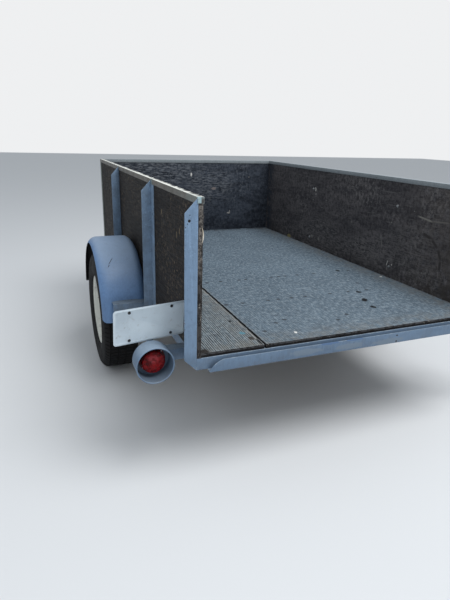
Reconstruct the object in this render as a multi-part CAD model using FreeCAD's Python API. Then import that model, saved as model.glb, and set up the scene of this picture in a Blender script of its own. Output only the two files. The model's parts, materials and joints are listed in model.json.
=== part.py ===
import FreeCAD, Part
import math
import os
from FreeCAD import Vector

# A small utility trailer with a plywood box bed on an angle steel frame.
# Millimetres. +X is the right side, +Y is forwards, +Z is up.
# The origin is the centre of the deck, on the top face of the floor.

# Bed
BED_WIDTH = 1524.0
BED_LENGTH = 2438.0
SIDE_HEIGHT = 612.0
PLY = 19.0
FLOOR_THICKNESS = 19.0
FLOOR_SHEET_WIDTH = 1197.0
FLOOR_SEAM = 8.0
FLOOR_REAR_SETBACK = 4.0

# Steel sections
FRAME_LEG = 50.8
FRAME_WALL = 4.8
POST_LEG = 50.8
POST_WALL = 3.2
CAP_WALL = 3.2
CAP_DEPTH = 25.4
CAP_END_THICKNESS = 3.0

# Posts, as the places of their outward legs behind and ahead of the axle
SIDE_POST_BEHIND = 481.0
SIDE_POST_AHEAD = 418.0
POST_TOP_DROP = 5.0
FRONT_POST_SPACING = 700.0
PIN_HOLE_RADIUS = 5.5
PIN_HOLE_OUT = 33.0
PIN_HOLE_DROP = 84.0

# Crossmembers between the two sills
CROSSMEMBER_COUNT = 4

# Tailgate slot behind the rear sill
SLOT_WIDTH = 20.2
SLOT_END_INSET = 48.0
SLOT_END_RUN = 62.0
SLOT_END_BULGE = 9.0

# Running gear
AXLE_BEHIND_CENTRE = 33.0
AXLE_DROP = 206.0
AXLE_RADIUS = 30.15
SPINDLE_RADIUS = 19.0
SPINDLE_BEYOND = 24.0
HUB_BACK_GAP = 10.0
SPINDLE_END_GAP = 6.0
SHAFT_CLEARANCE = 0.05
WHEEL_PLANE_OUT = 148.0
TYRE_RADIUS = 353.0
TYRE_WIDTH = 206.0
TYRE_WALL = 11.0
RIM_BEAD_RADIUS = 190.5
RIM_FLANGE_RADIUS = 207.0
RIM_SEAT_WIDTH = 152.4
RIM_LIP = 9.0
RIM_WALL = 4.0
RIM_WELL_RADIUS = 170.0
RIM_BORE_RADIUS = 36.3
STUD_CIRCLE_RADIUS = 57.15
STUD_COUNT = 5
STUD_RADIUS = 6.35
STUD_LENGTH = 24.0
STUD_CLEARANCE = 0.7
HUB_BARREL_RADIUS = 36.0
HUB_FLANGE_RADIUS = 72.0
HUB_FLANGE_THICKNESS = 12.0
HUB_INNER_REACH = 74.0
HUB_CAP_RADIUS = 29.0
HUB_CAP_REACH = 62.0
VENT_COUNT = 8
VENT_RADIUS = 11.0
VENT_CIRCLE_RADIUS = 122.0

# Leaf springs on top of the axle
SPRING_WIDTH = 44.5
LEAF_THICKNESS = 7.0
LEAF_HALF_LENGTHS = [318.0, 235.0, 150.0]
SPRING_SAGITTA = 24.0
SPRING_PERCH = 5.0
EYE_BORE_RADIUS = 7.3
SPRING_BOLT_RADIUS = 7.0
HANGER_WALL = 4.8
HANGER_SIDE_GAP = 0.5
FRONT_HANGER_LENGTH = 64.0
REAR_HANGER_LENGTH = 110.0
HANGER_BELOW_PIN = 18.0
PLATE_LENGTH = 96.0
PLATE_THICKNESS = 6.0
U_BOLT_RADIUS = 5.5
U_BOLT_TAIL = 16.0
SEAT_CLEARANCE = 0.3

# Fenders
FENDER_RADIUS = 420.0
FENDER_DROP = 185.0
FENDER_INNER_OUT = 12.0
FENDER_WIDTH = 244.0
FENDER_SHOULDER_ACROSS = 48.0
FENDER_SHOULDER_DEPTH = 35.0
FENDER_SHEET = 2.0
FENDER_END_ANGLE = 6.5
FENDER_END_ROUND = 15.0
BRACKET_REACH = 203.0
FENDER_BRACKET_DROP = 27.0

# Tongue, coupler and jack
TONGUE_REACH = 1120.0
TONGUE_HALF_ANGLE = 25.0
TONGUE_HEIGHT = 76.2
TONGUE_FLANGE = 38.1
TONGUE_WALL = 5.0
APEX_BEHIND_BALL = 20.0
BALL_RADIUS = 25.4
BALL_CLEARANCE = 0.4
BALL_DROP = 98.0
SOCKET_WALL = 6.0
SOCKET_SKIRT = 10.0
COUPLER_PLATE = 5.0
COUPLER_WING_START = 62.0
COUPLER_WING_END = 290.0
CHAIN_EAR_START = 215.0
CHAIN_EAR_LENGTH = 50.0
CHAIN_EAR_DEPTH = 36.0
CHAIN_HOLE_RADIUS = 9.0
LATCH_WIDTH = 22.0
JACK_BEHIND_BALL = 212.0
JACK_TUBE_RADIUS = 28.6
JACK_TUBE_WALL = 3.2
JACK_TUBE_ABOVE = 190.0
JACK_TUBE_BELOW = 205.0
JACK_CAP_RADIUS = 17.7
JACK_CAP_HEIGHT = 14.0
JACK_LEG_WALL = 3.2
JACK_LEG_OVERLAP = 75.0
JACK_FLANGE_RADIUS = 52.0
JACK_FLANGE_THICKNESS = 8.0
JACK_FOOT_LENGTH = 150.0
JACK_FOOT_WIDTH = 110.0
JACK_FOOT_THICKNESS = 6.0
JACK_FOOT_LIP = 14.0
CRANK_RADIUS = 7.0
CRANK_ARM = 150.0
CRANK_RISE = 14.0
CRANK_ARM_WIDTH = 18.0
CRANK_ARM_THICKNESS = 6.0
CRANK_GRIP_RADIUS = 13.0
CRANK_GRIP_GAP = 4.0
CRANK_GRIP_LENGTH = 95.0

# Lamps and the blank licence plate
LAMP_OUT = 156.0
LAMP_DROP = 43.0
LAMP_CAN_RADIUS = 76.2
LAMP_CAN_LENGTH = 80.0
LAMP_CAN_WALL = 3.0
LAMP_BACK_FORWARD = 118.0
LENS_RADIUS = 47.0
LENS_DOME = 12.0
LENS_BODY = 42.0
LENS_RING_RADIUS = 54.0
LENS_RING_DEPTH = 14.0
PLATE_W = 304.8
PLATE_H = 152.4
PLATE_SHEET = 1.5
PLATE_CORNER = 12.0
PLATE_OUT = 154.0
PLATE_FORWARD = 119.0
PLATE_Z = 107.6
PLATE_YAW = 9.6
PLATE_LEAN = 6.2
PLATE_HOLE_RADIUS = 3.5
PLATE_HOLE_SPACING_X = 177.8
PLATE_HOLE_SPACING_Z = 120.65
PLATE_BAR_WIDTH = 26.0
PLATE_BAR_SHEET = 4.0

# Values worked out from the sizes above
HALF_WIDTH = BED_WIDTH / 2
REAR = -BED_LENGTH / 2
FRONT = BED_LENGTH / 2
FRAME_TOP = -FLOOR_THICKNESS
FRAME_BOTTOM = FRAME_TOP - FRAME_LEG
CAP_BOTTOM = SIDE_HEIGHT - CAP_DEPTH
WALL_TOP = SIDE_HEIGHT - CAP_WALL
AXLE_Y = -AXLE_BEHIND_CENTRE
AXLE_Z = -AXLE_DROP
GROUND = AXLE_Z - TYRE_RADIUS
WHEEL_X = HALF_WIDTH + WHEEL_PLANE_OUT
AXLE_TUBE_END = WHEEL_X - HUB_INNER_REACH - HUB_BACK_GAP
SPINDLE_END = WHEEL_X + SPINDLE_BEYOND
BALL_Y = FRONT + TONGUE_REACH
BALL_Z = -BALL_DROP
APEX_Y = BALL_Y - APEX_BEHIND_BALL
JACK_Y = BALL_Y - JACK_BEHIND_BALL
TONGUE_TOP = FRAME_BOTTOM
TONGUE_BOTTOM = TONGUE_TOP - TONGUE_HEIGHT
COUPLER_START = APEX_Y - COUPLER_WING_START
SOCKET_OUTER = BALL_RADIUS + BALL_CLEARANCE + SOCKET_WALL
SOCKET_BOTTOM = BALL_Z - SOCKET_SKIRT
HANGER_WIDTH = SPRING_WIDTH + 2 * HANGER_SIDE_GAP + 2 * HANGER_WALL
SPRING_X = HALF_WIDTH - FRAME_WALL - HANGER_WIDTH / 2


# Helpers
def extrude(points, axis, start, end):
    """Closed outline in the plane across an axis, drawn out from start to end along it."""
    place = {
        "X": lambda u, v: Vector(start, u, v),
        "Y": lambda u, v: Vector(u, start, v),
        "Z": lambda u, v: Vector(u, v, start),
    }[axis]
    run = {"X": Vector(1, 0, 0), "Y": Vector(0, 1, 0), "Z": Vector(0, 0, 1)}[axis]
    corners = [place(u, v) for u, v in points]
    face = Part.Face(Part.makePolygon(corners + corners[:1]))
    return face.extrude(run * (end - start))


def block(low, high):
    size = [high[i] - low[i] for i in range(3)]
    return Part.makeBox(size[0], size[1], size[2], Vector(*low))


def rod(start, end, radius):
    first = Vector(*start)
    run = Vector(*end) - first
    return Part.makeCylinder(radius, run.Length, first, run)


def angle_bar(axis, start, end, corner, directions, leg, wall):
    """Equal angle steel, from its outside corner and the way each leg points."""
    outline = [(0, 0), (leg, 0), (leg, wall), (wall, wall), (wall, leg), (0, leg)]
    points = [(corner[0] + u * directions[0], corner[1] + v * directions[1]) for u, v in outline]
    return extrude(points, axis, start, end)


def revolved(points, centre):
    """Outline of (along X, radius) points turned about the line along X through the centre."""
    corners = [Vector(x, 0, r) for x, r in points]
    face = Part.Face(Part.makePolygon(corners + corners[:1]))
    solid = face.revolve(Vector(0, 0, 0), Vector(1, 0, 0), 360)
    solid.translate(Vector(*centre))
    return solid


def mirrored(shape):
    return shape.mirror(Vector(0, 0, 0), Vector(1, 0, 0))


def save(name, *solids):
    shape = solids[0] if len(solids) == 1 else Part.makeCompound(list(solids))
    shape.exportStep("parts/" + name + ".step")


def save_pair(name, shape):
    """Saves a right-hand piece and its mirror image."""
    save(name + "_right", shape)
    save(name + "_left", mirrored(shape))


# Frame
def frame_rail():
    """Side angle between the sills, coped under their top legs."""
    bar = angle_bar(
        "Y", REAR + FRAME_WALL, FRONT - FRAME_WALL,
        (HALF_WIDTH, FRAME_TOP), (-1, -1), FRAME_LEG, FRAME_WALL,
    )
    low = FRAME_TOP - FRAME_WALL
    bar = bar.cut(block((0, REAR, low), (BED_WIDTH, REAR + FRAME_LEG, 0)))
    return bar.cut(block((0, FRONT - FRAME_LEG, low), (BED_WIDTH, FRONT, 0)))


def sill(face_y, forward):
    return angle_bar(
        "X", -HALF_WIDTH, HALF_WIDTH, (face_y, FRAME_TOP), (forward, -1), FRAME_LEG, FRAME_WALL
    )


def crossmembers():
    """Cross angles coped under the top legs of the side rails."""
    inside = HALF_WIDTH - FRAME_WALL
    low = FRAME_TOP - FRAME_WALL
    rail_top = [
        block((x - FRAME_LEG, REAR, low), (x + FRAME_LEG, FRONT, 0))
        for x in (-HALF_WIDTH, HALF_WIDTH)
    ]
    bays = CROSSMEMBER_COUNT + 1
    solids = []
    for number in range(1, bays):
        y = REAR + BED_LENGTH * number / bays
        bar = angle_bar("X", -inside, inside, (y, FRAME_TOP), (1, -1), FRAME_LEG, FRAME_WALL)
        solids.append(bar.cut(rail_top[0]).cut(rail_top[1]))
    return solids


def tailgate_channel():
    """Angle under the rear sill whose upright leg stands a slot's width behind it."""
    back = REAR - SLOT_WIDTH - FRAME_WALL
    bottom = FRAME_BOTTOM - FRAME_WALL
    end = HALF_WIDTH - SLOT_END_INSET
    bar = angle_bar("X", -end, end, (back, bottom), (1, 1), FRAME_LEG, FRAME_WALL)
    low = Vector(end, back - 1, bottom + FRAME_WALL)
    high = Vector(end - SLOT_END_RUN, back - 1, bottom + FRAME_LEG)
    beyond = Vector(end + 1, back - 1, bottom + FRAME_LEG + 1)
    middle = (low + high) / 2 + Vector(1, 0, 1) * SLOT_END_BULGE * math.sqrt(0.5)
    edges = [
        Part.Arc(low, middle, high).toShape(),
        Part.LineSegment(high, Vector(high.x, high.y, beyond.z)).toShape(),
        Part.LineSegment(Vector(high.x, high.y, beyond.z), beyond).toShape(),
        Part.LineSegment(beyond, Vector(beyond.x, low.y, low.z)).toShape(),
        Part.LineSegment(Vector(beyond.x, low.y, low.z), low).toShape(),
    ]
    corner = Part.Face(Part.Wire(edges)).extrude(Vector(0, FRAME_LEG + 2, 0))
    return bar.cut(corner).cut(mirrored(corner))


# Bed
def wall_side():
    return block((HALF_WIDTH - PLY, REAR, FRAME_TOP), (HALF_WIDTH, FRONT, WALL_TOP))


def wall_front():
    inside = HALF_WIDTH - PLY
    return block((-inside, FRONT - PLY, FRAME_TOP), (inside, FRONT, WALL_TOP))


def floor_sheets():
    inside = HALF_WIDTH - PLY
    seam = inside - FLOOR_SHEET_WIDTH
    rear = REAR + FLOOR_REAR_SETBACK
    main = block((seam, rear, FRAME_TOP), (inside, FRONT - PLY, 0))
    strip = block((-inside, rear, FRAME_TOP), (seam - FLOOR_SEAM, FRONT - PLY, 0))
    return main, strip


def cap_outline(edge, inward):
    """Inverted channel over a wall, from the wall's outer face."""
    outer = edge - inward * CAP_WALL
    inner = edge + inward * (PLY + CAP_WALL)
    return [
        (outer, CAP_BOTTOM), (edge, CAP_BOTTOM), (edge, WALL_TOP),
        (inner - inward * CAP_WALL, WALL_TOP), (inner - inward * CAP_WALL, CAP_BOTTOM),
        (inner, CAP_BOTTOM), (inner, SIDE_HEIGHT), (outer, SIDE_HEIGHT),
    ]


def mitre_wedge():
    """Everything ahead of the 45 degree line through the front right corner of the cap."""
    corner = (HALF_WIDTH + CAP_WALL, FRONT + CAP_WALL)
    reach = 4 * PLY
    points = [
        (corner[0] - reach, corner[1] - reach), (corner[0] + 1, corner[1] + 1),
        (corner[0] + 1, corner[1] + reach), (corner[0] - reach, corner[1] + reach),
    ]
    return extrude(points, "Z", CAP_BOTTOM - 1, SIDE_HEIGHT + 1)


def cap_side():
    channel = extrude(cap_outline(HALF_WIDTH, -1), "Y", REAR, FRONT + CAP_WALL)
    end = block(
        (HALF_WIDTH - PLY - CAP_WALL, REAR - CAP_END_THICKNESS, CAP_BOTTOM + CAP_WALL),
        (HALF_WIDTH + CAP_WALL, REAR, SIDE_HEIGHT),
    )
    return channel.cut(mitre_wedge()).fuse(end).removeSplitter()


def cap_front():
    reach = HALF_WIDTH + CAP_WALL
    channel = extrude(cap_outline(FRONT, -1), "X", -reach, reach)
    corner = [
        (reach - 4 * PLY, FRONT + CAP_WALL - 4 * PLY), (reach + 1, FRONT + CAP_WALL - 4 * PLY),
        (reach + 1, FRONT + CAP_WALL + 1),
    ]
    side = extrude(corner, "Z", CAP_BOTTOM - 1, SIDE_HEIGHT + 1)
    return channel.cut(side).cut(mirrored(side))


def post(y, flat_direction, chamfered):
    """Upright angle on the right wall: one leg stands out, the other lies on the wall."""
    face = HALF_WIDTH
    bar = angle_bar(
        "Z", FRAME_BOTTOM, SIDE_HEIGHT, (face, y), (1, flat_direction), POST_LEG, POST_WALL
    )
    slope_top = SIDE_HEIGHT - POST_TOP_DROP
    tip = face + POST_LEG
    top = [
        (face + POST_WALL, slope_top), (tip + 1, slope_top - POST_LEG - 1),
        (tip + 1, SIDE_HEIGHT + 1), (face + POST_WALL, SIDE_HEIGHT + 1),
    ]
    bar = bar.cut(extrude(top, "Y", y - POST_LEG, y + POST_LEG))
    cap = block(
        (face - 1, y - 2 * POST_LEG, CAP_BOTTOM),
        (face + CAP_WALL, y + 2 * POST_LEG, SIDE_HEIGHT + 1),
    )
    bar = bar.cut(cap)
    if chamfered:
        foot = [
            (face, FRAME_BOTTOM), (tip + 1, FRAME_BOTTOM), (tip + 1, FRAME_TOP + 1), (tip, FRAME_TOP)
        ]
        bar = bar.cut(extrude(foot, "Y", y - 1, y + POST_LEG + 1))
        x = face + PIN_HOLE_OUT
        z = SIDE_HEIGHT - PIN_HOLE_DROP
        bar = bar.cut(rod((x, y - 1, z), (x, y + POST_WALL + 1, z), PIN_HOLE_RADIUS))
    return bar


def side_posts():
    behind = AXLE_Y - SIDE_POST_BEHIND + POST_WALL
    ahead = AXLE_Y + SIDE_POST_AHEAD
    return [post(REAR, 1, True), post(behind, -1, False), post(ahead, 1, False)]


def front_posts():
    """Two corner angles round the outside of the bed and two posts on the front wall."""
    corner = angle_bar(
        "Z", FRAME_BOTTOM, CAP_BOTTOM, (HALF_WIDTH + POST_WALL, FRONT + POST_WALL), (-1, -1),
        POST_LEG, POST_WALL,
    )
    x = FRONT_POST_SPACING / 2
    upright = angle_bar("Z", FRAME_BOTTOM, CAP_BOTTOM, (x, FRONT), (-1, 1), POST_LEG, POST_WALL)
    slope = [
        (FRONT + POST_WALL, CAP_BOTTOM), (FRONT + POST_LEG + 1, CAP_BOTTOM - POST_LEG),
        (FRONT + POST_LEG + 1, CAP_BOTTOM + 1), (FRONT + POST_WALL, CAP_BOTTOM + 1),
    ]
    upright = upright.cut(extrude(slope, "X", x - 2 * POST_LEG, x + POST_LEG))
    return [corner, mirrored(corner), upright, mirrored(upright)]


# Running gear
def axle():
    tube = rod((-AXLE_TUBE_END, AXLE_Y, AXLE_Z), (AXLE_TUBE_END, AXLE_Y, AXLE_Z), AXLE_RADIUS)
    spindle = rod((-SPINDLE_END, AXLE_Y, AXLE_Z), (SPINDLE_END, AXLE_Y, AXLE_Z), SPINDLE_RADIUS)
    shape = tube.fuse(spindle)
    for side in (-1, 1):
        x = side * SPRING_X
        perch = block(
            (x - SPRING_WIDTH / 2, AXLE_Y - AXLE_RADIUS, AXLE_Z),
            (x + SPRING_WIDTH / 2, AXLE_Y + AXLE_RADIUS, AXLE_Z + AXLE_RADIUS + SPRING_PERCH),
        )
        shape = shape.fuse(perch)
    return shape.removeSplitter()


def leaf_numbers():
    """Bow of the main leaf's middle line: its radius and the height of its centre."""
    half = LEAF_HALF_LENGTHS[0]
    radius = (half ** 2 + SPRING_SAGITTA ** 2) / (2 * SPRING_SAGITTA)
    stack = LEAF_THICKNESS * len(LEAF_HALF_LENGTHS)
    bottom = AXLE_Z + AXLE_RADIUS + SPRING_PERCH
    middle = bottom + stack - LEAF_THICKNESS / 2
    return radius, middle + radius, bottom + stack


def on_leaf(radius, centre_z, along):
    return Vector(SPRING_X, AXLE_Y + along, centre_z - math.sqrt(radius ** 2 - along ** 2))


def leaf(number, half):
    radius, centre_z, _ = leaf_numbers()
    upper = radius + (number - 0.5) * LEAF_THICKNESS
    lower = upper + LEAF_THICKNESS
    top = [on_leaf(upper, centre_z, a) for a in (-half, 0, half)]
    under = [on_leaf(lower, centre_z, a) for a in (-half, 0, half)]
    edges = [
        Part.Arc(*top).toShape(),
        Part.LineSegment(top[2], under[2]).toShape(),
        Part.Arc(under[2], under[1], under[0]).toShape(),
        Part.LineSegment(under[0], top[0]).toShape(),
    ]
    face = Part.Face(Part.Wire(edges))
    solid = face.extrude(Vector(SPRING_WIDTH, 0, 0))
    solid.translate(Vector(-SPRING_WIDTH / 2, 0, 0))
    return solid


def eye_centre():
    radius, centre_z, _ = leaf_numbers()
    end = on_leaf(radius, centre_z, LEAF_HALF_LENGTHS[0])
    return end.y, end.z + EYE_BORE_RADIUS + LEAF_THICKNESS / 2


def spring():
    shape = leaf(0, LEAF_HALF_LENGTHS[0])
    for number, half in enumerate(LEAF_HALF_LENGTHS[1:], 1):
        shape = shape.fuse(leaf(number, half))
    y, z = eye_centre()
    x0 = SPRING_X - SPRING_WIDTH / 2
    x1 = SPRING_X + SPRING_WIDTH / 2
    shape = shape.fuse(rod((x0, y, z), (x1, y, z), EYE_BORE_RADIUS + LEAF_THICKNESS))
    return shape.cut(rod((x0 - 1, y, z), (x1 + 1, y, z), EYE_BORE_RADIUS)).removeSplitter()


def hanger(y, length, pin_y, pin_z, roof_z):
    """Two cheeks under the side rail, a roof plate between them and a cross bolt."""
    x0 = SPRING_X - HANGER_WIDTH / 2
    x1 = SPRING_X + HANGER_WIDTH / 2
    bottom = pin_z - HANGER_BELOW_PIN
    top = FRAME_TOP - FRAME_WALL
    cheeks = [
        block((x0, y - length / 2, bottom), (x0 + HANGER_WALL, y + length / 2, top)),
        block((x1 - HANGER_WALL, y - length / 2, bottom), (x1, y + length / 2, top)),
    ]
    roof = block((x0, y - length / 2, roof_z), (x1, y + length / 2, roof_z + HANGER_WALL))
    pin = rod((x0, pin_y, pin_z), (x1, pin_y, pin_z), SPRING_BOLT_RADIUS)
    return cheeks[0].fuse(cheeks[1]).fuse(roof).fuse(pin).removeSplitter()


def hangers():
    y, z = eye_centre()
    front_roof = z + EYE_BORE_RADIUS + LEAF_THICKNESS + 3 * SEAT_CLEARANCE
    front = hanger(y, FRONT_HANGER_LENGTH, y, z, front_roof)
    radius, centre_z, _ = leaf_numbers()
    tip = on_leaf(radius - LEAF_THICKNESS / 2, centre_z, -LEAF_HALF_LENGTHS[0])
    rear_y = tip.y + REAR_HANGER_LENGTH / 4
    pin_z = tip.z - LEAF_THICKNESS - 2 * SPRING_BOLT_RADIUS
    rear = hanger(rear_y, REAR_HANGER_LENGTH, rear_y, pin_z, tip.z + SEAT_CLEARANCE)
    return [front, rear, mirrored(front), mirrored(rear)]


def spring_plate():
    """Plate on top of the leaves, held down by two U-bolts round the axle."""
    _, _, leaf_top = leaf_numbers()
    bend = AXLE_RADIUS + U_BOLT_RADIUS + SEAT_CLEARANCE
    rise = (PLATE_LENGTH / 2) ** 2 / (2 * leaf_numbers()[0])
    base = leaf_top + rise + SEAT_CLEARANCE
    bolt_x = SPRING_WIDTH / 2 + U_BOLT_RADIUS + 2
    half = bolt_x + 2 * U_BOLT_RADIUS
    shape = block(
        (SPRING_X - half, AXLE_Y - PLATE_LENGTH / 2, base),
        (SPRING_X + half, AXLE_Y + PLATE_LENGTH / 2, base + PLATE_THICKNESS),
    )
    top = base + PLATE_THICKNESS + U_BOLT_TAIL
    for side in (-1, 1):
        x = SPRING_X + side * bolt_x
        ring = Part.makeCircle(U_BOLT_RADIUS, Vector(x, AXLE_Y - bend, AXLE_Z), Vector(0, 0, 1))
        bow = Part.Face(Part.Wire(ring)).revolve(Vector(x, AXLE_Y, AXLE_Z), Vector(1, 0, 0), 180)
        shape = shape.fuse(bow)
        for leg in (-1, 1):
            y = AXLE_Y + leg * bend
            shape = shape.fuse(rod((x, y, AXLE_Z), (x, y, top), U_BOLT_RADIUS))
    return shape.removeSplitter()


WHEEL_CENTRE = (WHEEL_X, AXLE_Y, AXLE_Z)


def circle_of_holes(shape, count, circle, radius, x0, x1):
    for number in range(count):
        turn = 2 * math.pi * number / count
        y = AXLE_Y + circle * math.sin(turn)
        z = AXLE_Z + circle * math.cos(turn)
        shape = shape.cut(rod((WHEEL_X + x0, y, z), (WHEEL_X + x1, y, z), radius))
    return shape


def rim():
    """Pressed steel wheel: a drop-centre rim with its dished disc, turned as one outline."""
    seat = RIM_SEAT_WIDTH / 2
    lip = seat + RIM_LIP
    bead = RIM_BEAD_RADIUS
    well = RIM_WELL_RADIUS
    wall = RIM_WALL
    flange = RIM_FLANGE_RADIUS
    outline = [
        (-lip, flange - 2), (-seat - 2, flange), (-seat, bead), (-44, bead - 3), (-30, well), (14, well),
        (28, bead - 3), (seat, bead), (seat + 2, flange), (lip, flange - 2),
        (lip, flange - 2 - wall), (seat + 6, flange - wall), (seat + 4, bead - wall), (30, bead - 3 - wall),
        (18, well - wall),
        (38, well - 16), (46, well - 34), (42, 108), (8, 78), (4, 66), (4, RIM_BORE_RADIUS),
        (0, RIM_BORE_RADIUS), (0, 70), (36, 108), (40, well - 34), (33, well - 14), (6, well - wall),
        (-28, well - wall), (-42, bead - 3 - wall), (-seat - 4, bead - wall),
        (-seat - 6, flange - wall), (-lip, flange - 2 - wall),
    ]
    shape = revolved(outline, WHEEL_CENTRE)
    shape = circle_of_holes(shape, STUD_COUNT, STUD_CIRCLE_RADIUS, STUD_RADIUS + STUD_CLEARANCE, -5, 12)
    return circle_of_holes(shape, VENT_COUNT, VENT_CIRCLE_RADIUS, VENT_RADIUS, 20, 60)


def hub():
    bore = SPINDLE_RADIUS + SHAFT_CLEARANCE
    bore_end = SPINDLE_BEYOND + SPINDLE_END_GAP
    outline = [
        (-HUB_INNER_REACH, bore), (-HUB_INNER_REACH, HUB_BARREL_RADIUS),
        (-HUB_FLANGE_THICKNESS, HUB_BARREL_RADIUS), (-HUB_FLANGE_THICKNESS, HUB_FLANGE_RADIUS),
        (0, HUB_FLANGE_RADIUS), (0, HUB_BARREL_RADIUS), (20, HUB_BARREL_RADIUS),
        (24, HUB_CAP_RADIUS), (HUB_CAP_REACH - 8, HUB_CAP_RADIUS), (HUB_CAP_REACH, HUB_CAP_RADIUS - 9),
        (HUB_CAP_REACH, 0), (bore_end, 0), (bore_end, bore),
    ]
    shape = revolved(outline, WHEEL_CENTRE)
    for number in range(STUD_COUNT):
        turn = 2 * math.pi * number / STUD_COUNT
        y = AXLE_Y + STUD_CIRCLE_RADIUS * math.sin(turn)
        z = AXLE_Z + STUD_CIRCLE_RADIUS * math.cos(turn)
        shape = shape.fuse(rod((WHEEL_X - 4, y, z), (WHEEL_X + STUD_LENGTH, y, z), STUD_RADIUS))
    return shape


def tyre():
    """Radial tyre: round-shouldered section, hollow inside, open between its beads."""
    seat = RIM_SEAT_WIDTH / 2
    half = TYRE_WIDTH / 2
    wall = TYRE_WALL
    bead = RIM_BEAD_RADIUS
    height = TYRE_RADIUS - bead
    belly = bead + 0.48 * height
    # Right half of the section as (across, radius): outside going up, then inside going down.
    outside = [
        (seat, bead), (seat, bead + 18), (seat + 12, bead + 26), (half - 4, belly - 26), (half, belly),
        (half - 3, belly + 30), (half - 14, TYRE_RADIUS - 24), (half - 30, TYRE_RADIUS - 7),
        (half - 52, TYRE_RADIUS),
    ]
    inside = [
        (half - 54, TYRE_RADIUS - wall), (half - 34, TYRE_RADIUS - wall - 12),
        (half - wall - 4, belly + 24), (half - wall, belly), (half - wall - 8, belly - 26),
        (seat - 8, bead + 26), (seat - 14, bead),
    ]
    left = [(-x, r) for x, r in outside]
    left_inside = [(-x, r) for x, r in inside]
    outline = outside + left[::-1] + left_inside[::-1] + inside
    return revolved(outline, WHEEL_CENTRE)


# Fenders
def fender_line(inner, outer, inset):
    """The sheet's outer or inner line across the tread: shoulder, flat crown, shoulder."""
    across = FENDER_SHOULDER_ACROSS
    bend = (across ** 2 + FENDER_SHOULDER_DEPTH ** 2) / (2 * FENDER_SHOULDER_DEPTH)
    turn = math.asin(across / bend)
    radius = bend - inset
    low = FENDER_RADIUS - bend

    def on_bend(centre, side, angle):
        return Vector(centre + side * radius * math.sin(angle), 0, low + radius * math.cos(angle))

    return [
        on_bend(inner + across, -1, turn), on_bend(inner + across, -1, turn / 2),
        on_bend(inner + across, -1, 0), on_bend(outer - across, 1, 0),
        on_bend(outer - across, 1, turn / 2), on_bend(outer - across, 1, turn),
    ]


def fender():
    """Rolled sheet round the tyre, with rounded shoulders and rounded end corners."""
    inner = HALF_WIDTH + FENDER_INNER_OUT
    outer = inner + FENDER_WIDTH
    a = fender_line(inner, outer, 0)
    b = fender_line(inner, outer, FENDER_SHEET)
    edges = [
        Part.Arc(a[0], a[1], a[2]).toShape(),
        Part.LineSegment(a[2], a[3]).toShape(),
        Part.Arc(a[3], a[4], a[5]).toShape(),
        Part.LineSegment(a[5], b[5]).toShape(),
        Part.Arc(b[5], b[4], b[3]).toShape(),
        Part.LineSegment(b[3], b[2]).toShape(),
        Part.Arc(b[2], b[1], b[0]).toShape(),
        Part.LineSegment(b[0], a[0]).toShape(),
    ]
    face = Part.Face(Part.Wire(edges))
    face.rotate(Vector(0, 0, 0), Vector(1, 0, 0), -(90 - FENDER_END_ANGLE))
    shell = face.revolve(Vector(0, 0, 0), Vector(1, 0, 0), 180 - 2 * FENDER_END_ANGLE)
    end = FENDER_RADIUS * math.sin(math.radians(FENDER_END_ANGLE)) + FENDER_END_ROUND
    for x, side in ((inner, -1), (outer, 1)):
        near = x - side * FENDER_END_ROUND
        across = sorted((near, x + side))
        square = block((across[0], -FENDER_RADIUS, 0), (across[1], FENDER_RADIUS, end))
        pin = rod((near, -FENDER_RADIUS - 1, end), (near, FENDER_RADIUS + 1, end), FENDER_END_ROUND)
        shell = shell.cut(square.cut(pin))
    shell.translate(Vector(0, AXLE_Y, -FENDER_DROP))
    return shell


def fender_bracket_pair():
    """Angles under the right fender's ends: the rear one off the rail, the front one off a post."""
    drop = FENDER_DROP - FENDER_BRACKET_DROP - FRAME_WALL
    touch = math.sqrt(FENDER_RADIUS ** 2 - drop ** 2)
    x1 = HALF_WIDTH + BRACKET_REACH
    solids = []
    for direction, x0 in ((-1, HALF_WIDTH), (1, HALF_WIDTH + POST_LEG)):
        edge = AXLE_Y + direction * (touch + SEAT_CLEARANCE)
        corner = (edge + direction * FRAME_LEG, -FENDER_BRACKET_DROP)
        solids.append(angle_bar("X", x0, x1, corner, (-direction, -1), FRAME_LEG, FRAME_WALL))
    return solids


# Tongue, coupler and jack
def in_tongue_frame(shape):
    """Moves a piece drawn along -Y from its own origin onto the right-hand tongue line."""
    shape.rotate(Vector(0, 0, 0), Vector(0, 0, 1), TONGUE_HALF_ANGLE)
    shape.translate(Vector(0, APEX_Y, 0))
    return shape


def tongue_member():
    """Channel with its web outside, from under the side rail to the coupler."""
    lean = math.radians(TONGUE_HALF_ANGLE)
    length = HALF_WIDTH / math.sin(lean) + 2 * TONGUE_FLANGE
    outline = [
        (0, TONGUE_BOTTOM), (0, TONGUE_TOP), (-TONGUE_FLANGE, TONGUE_TOP),
        (-TONGUE_FLANGE, TONGUE_TOP - TONGUE_WALL), (-TONGUE_WALL, TONGUE_TOP - TONGUE_WALL),
        (-TONGUE_WALL, TONGUE_BOTTOM + TONGUE_WALL), (-TONGUE_FLANGE, TONGUE_BOTTOM + TONGUE_WALL),
        (-TONGUE_FLANGE, TONGUE_BOTTOM),
    ]
    bar = in_tongue_frame(extrude(outline, "Y", -length, 0))
    low = TONGUE_BOTTOM - 1
    high = TONGUE_TOP + 1
    outside = block((HALF_WIDTH, REAR, low), (2 * BED_WIDTH, BALL_Y, high))
    nose = block((-BED_WIDTH, APEX_Y - COUPLER_WING_START, low), (BED_WIDTH, BALL_Y, high))
    across = block((-BED_WIDTH, REAR, low), (0, BALL_Y, high))
    return bar.cut(outside).cut(nose).cut(across)


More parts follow.
